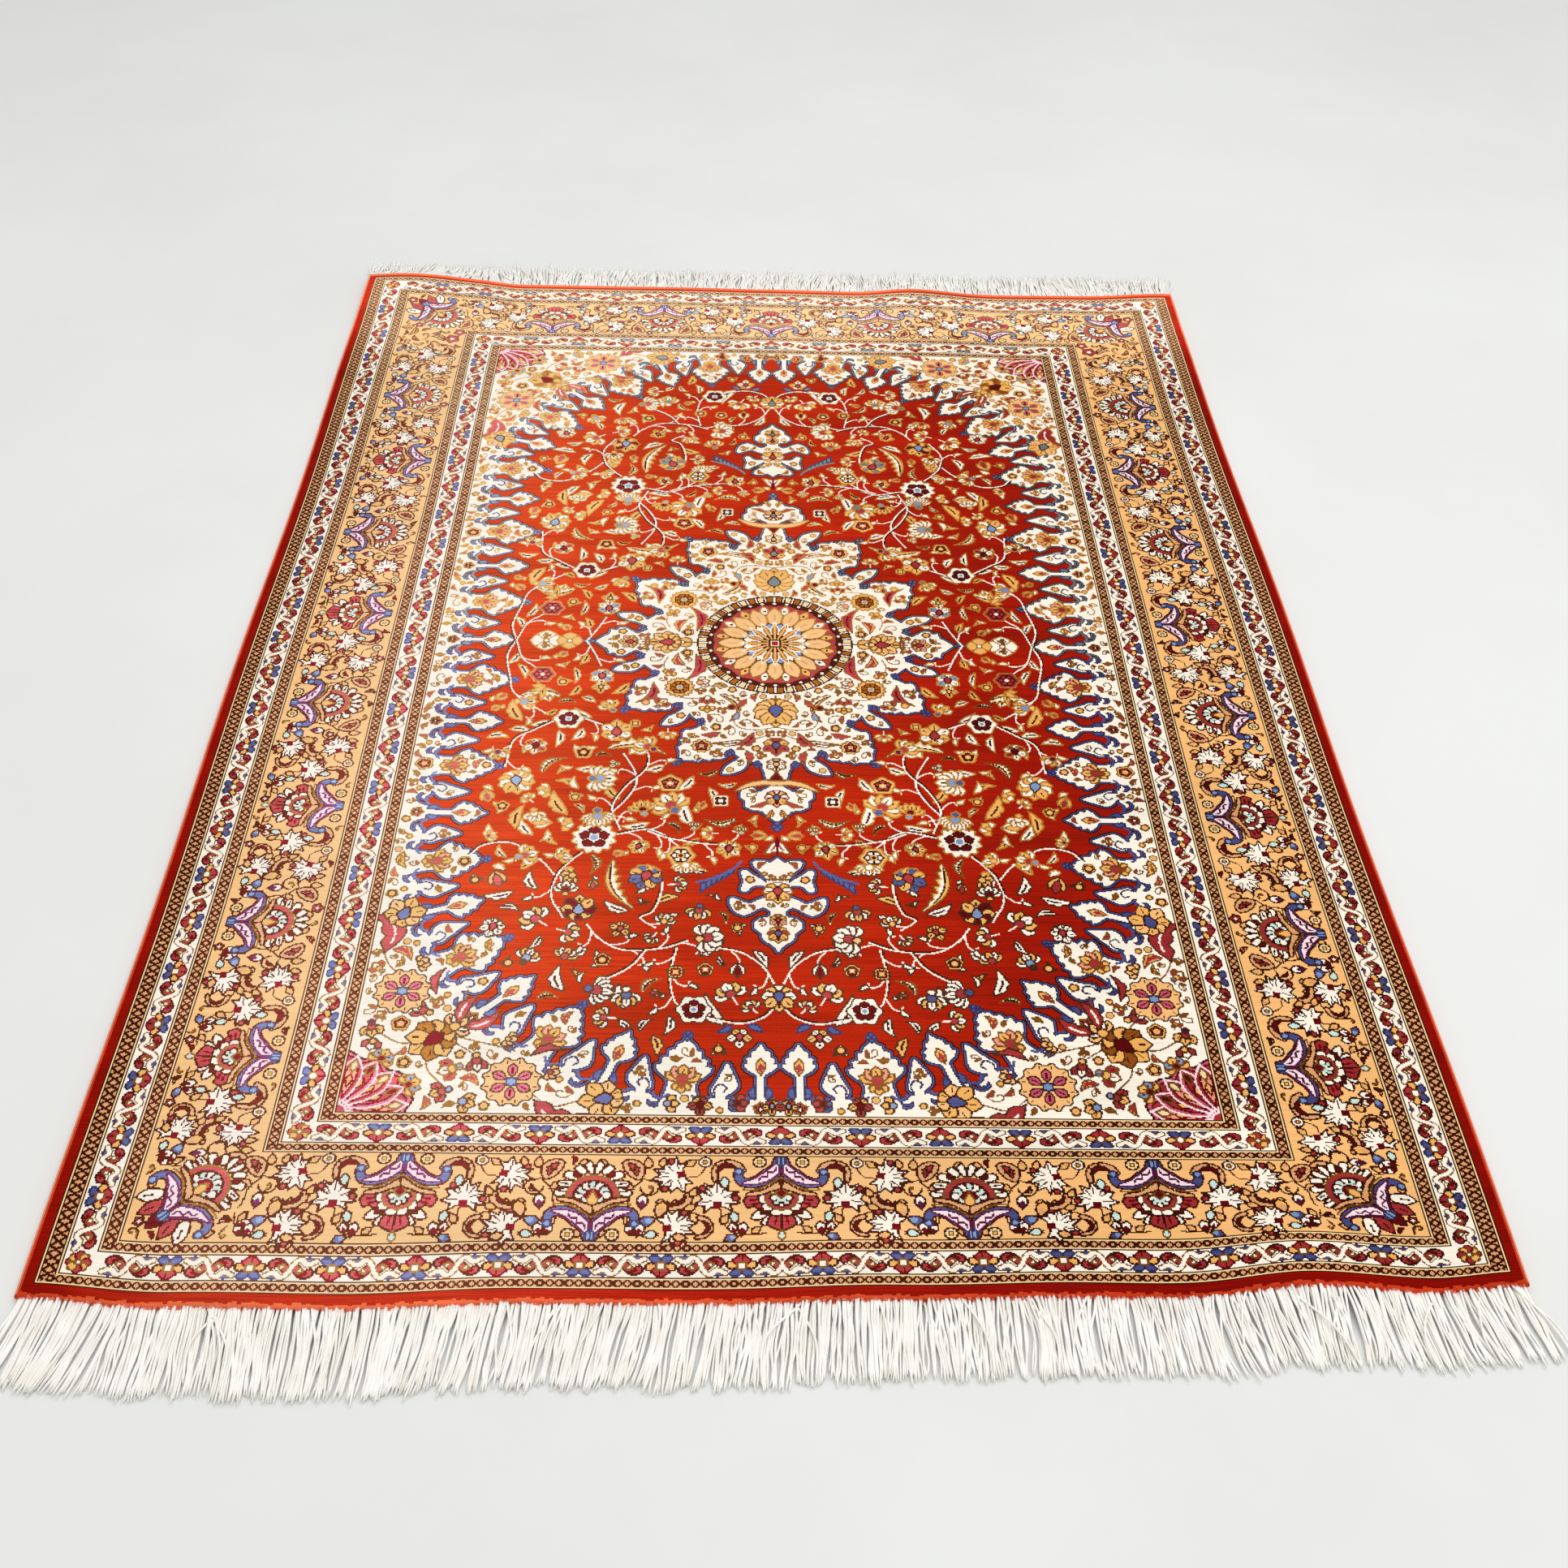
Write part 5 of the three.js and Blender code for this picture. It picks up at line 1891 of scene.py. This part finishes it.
def thread_paths(name, end, left_reach, right_reach, uneven, wild, raised, dice):
    """Points of every thread, an array of threads by steps by three."""
    x = np.linspace(ROOT_MARGIN - HALF_WIDE, HALF_WIDE - ROOT_MARGIN, THREADS)
    x[1:-1] += dice.normal(0, ROOT_SPREAD, THREADS - 2)
    own = np.arange(THREADS) % LOCK / (LOCK - 1) - 0.5
    share = np.linspace(0, 1, THREAD_STEPS + 1)[None, :]

    def each_lock(spread):
        return np.repeat(dice.normal(0, spread, THREADS // LOCK), LOCK)

    # tips: combed, drifting from place to place, and each lock a little by itself
    marks = np.arange(-HALF_WIDE, HALF_WIDE + DRIFT_PITCH, DRIFT_PITCH)
    drift = np.interp(x, marks, dice.normal(0, 1.4 * wild, len(marks)))
    stray = dice.normal(0, STRAY_SWING, THREADS) * (dice.random(THREADS) < STRAY_SHARE)
    shift = np.interp(x, *np.transpose(COMBED[name])) + drift + each_lock(0.5 * wild) + stray
    shift += own * each_lock(LOCK_FAN) + dice.normal(0, 0.7 * wild, THREADS)
    reach = np.interp(x, [-HALF_WIDE, HALF_WIDE], [left_reach, right_reach])
    reach += each_lock(0.5 * uneven) + dice.normal(0, 0.6 * uneven, THREADS)
    bow = each_lock(LOCK_BOW) + dice.normal(0, THREAD_BOW, THREADS) + 0.4 * stray
    wave = dice.normal(0, THREAD_WAVE, THREADS)
    root = lay(x, np.full(THREADS, end * (HALF_LONG - ROOT_INSIDE)), np.zeros(THREADS))
    path_x = (root[:, :1] + shift[:, None] * share ** 1.3 + bow[:, None] * np.sin(math.pi * share)
              + wave[:, None] * np.sin(3 * math.pi * share))
    path_y = root[:, 1:2] + end * reach[:, None] * share
    # heights: from the end face down to the floor, or onto the threads that lie there already
    layer = dice.uniform(0, PILED_UP, THREADS) + abs(dice.normal(0, 0.3 * wild, THREADS))
    layer += 0.2 * abs(stray)
    fall = smooth(1 - share / dice.uniform(0.5, 0.8, THREADS)[:, None])
    rest = THREAD_WIDE / 2 + layer[:, None] * np.clip(1.5 - 1.2 * share, 0, 1)
    high = root[:, 2] + dice.uniform(*ROOT_LEVELS, THREADS)
    tip_height = raised * dice.random(THREADS) ** 2
    path_z = rest + (high[:, None] - rest) * fall + tip_height[:, None] * share ** 2
    return np.stack([path_x, path_y, path_z], -1), reach


print(THREADS, "threads an end, in", THREADS // LOCK, "locks")


# %% Tubes round the threads
def tubes(paths, width):
    """Points and faces of a closed tube round each path."""
    count, steps = paths.shape[:2]
    along = np.gradient(paths, axis=1)
    along /= np.linalg.norm(along, axis=2, keepdims=True)
    side = np.cross(along, (0.0, 0.0, 1.0))
    side /= np.linalg.norm(side, axis=2, keepdims=True)
    up = np.cross(side, along)
    thin = np.interp(np.arange(steps), [0, steps - 2, steps - 1], [1.0, 0.9, 0.5])[None, :, None, None]
    angle = (np.arange(THREAD_SIDES) + 0.5) * 2 * math.pi / THREAD_SIDES
    ring_points = side[:, :, None] * np.cos(angle)[:, None] + up[:, :, None] * np.sin(angle)[:, None]
    points = paths[:, :, None] + ring_points * thin * width / 2
    first = (np.arange(count) * steps * THREAD_SIDES)[:, None, None]
    step = (np.arange(steps - 1) * THREAD_SIDES)[None, :, None]
    here = np.arange(THREAD_SIDES)[None, None, :]
    there = (here + 1) % THREAD_SIDES
    base = first + step
    above = base + THREAD_SIDES
    walls = np.stack([base + here, base + there, above + there, above + here], -1)
    cap = first[:, 0] + np.arange(THREAD_SIDES)[None, :]
    tip = cap[:, ::-1] + (steps - 1) * THREAD_SIDES
    return points.reshape(-1, 3), walls.reshape(-1, 4), np.vstack([cap[:, ::-1], tip[:, ::-1]])


print("faces round a thread:", THREAD_SIDES * THREAD_STEPS + 2)

# %% Warp silk
WARP_TONES = [(0.3, (0.92, 0.875, 0.79)), (0.6, (0.99, 0.965, 0.905))]
warp, tree, shader = new_material("warp silk")
where = add_node(tree, "ShaderNodeTexCoord").outputs["Object"]
hue = add_node(tree, "ShaderNodeTexNoise", Vector=where, Scale=60.0, Detail=3.0)
tone = add_node(tree, "ShaderNodeValToRGB", Fac=hue.outputs["Fac"])
set_stops(tone, WARP_TONES)
beyond = add_node(tree, "ShaderNodeAttribute", attribute_name="beyond_tuft").outputs["Fac"]
bare = ranged(beyond, -0.3, 0.3)
thread_colour = add_node(tree, "ShaderNodeMix", data_type="RGBA", i0=bare)
thread_colour.inputs[6].default_value = (*YARNS["rim red"], 1)
tree.links.new(tone.outputs["Color"], thread_colour.inputs[7])
tree.links.new(thread_colour.outputs[2], shader.inputs["Base Color"])
shader.inputs["Roughness"].default_value = 0.55
shader.inputs["Sheen Weight"].default_value = 0.8
print("warp silk of", len(tree.nodes), "nodes")

# %% Both ends
for name, end, left_reach, right_reach, uneven, wild, raised, tuft_reach in FRINGES:
    dice = np.random.default_rng(40 + end)
    paths, reach = thread_paths(name, end, left_reach, right_reach, uneven, wild, raised, dice)
    points, walls, caps = tubes(paths, THREAD_WIDE)
    fringe_mesh = bpy.data.meshes.new(f"fringe_{name}")
    fringe_mesh.from_pydata((points * MM).tolist(), [], walls.tolist() + caps.tolist())
    rounded = np.arange(len(walls) + len(caps)) < len(walls)
    fringe_mesh.polygons.foreach_set("use_smooth", rounded)
    tuft = np.repeat(dice.uniform(0, 1, THREADS // TUFT_THREADS + 1), TUFT_THREADS)[:THREADS]
    distance = reach[:, None] * np.linspace(0, 1, THREAD_STEPS + 1)[None, :]
    beyond_tuft = np.repeat(distance - tuft_reach * tuft[:, None], THREAD_SIDES, axis=1)
    layer = fringe_mesh.attributes.new("beyond_tuft", "FLOAT", "POINT")
    layer.data.foreach_set("value", beyond_tuft.astype(np.float32).ravel())
    fringe_mesh.materials.append(warp)
    threads = bpy.data.objects.new(f"fringe_{name}_threads", fringe_mesh)
    scene.collection.objects.link(threads)
    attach(threads, "root")
    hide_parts(f"fringe_{name}")
    fringe_mesh.calc_loop_triangles()
    print("fringe", name, "of", len(paths), "threads,", len(fringe_mesh.loop_triangles), "triangles")
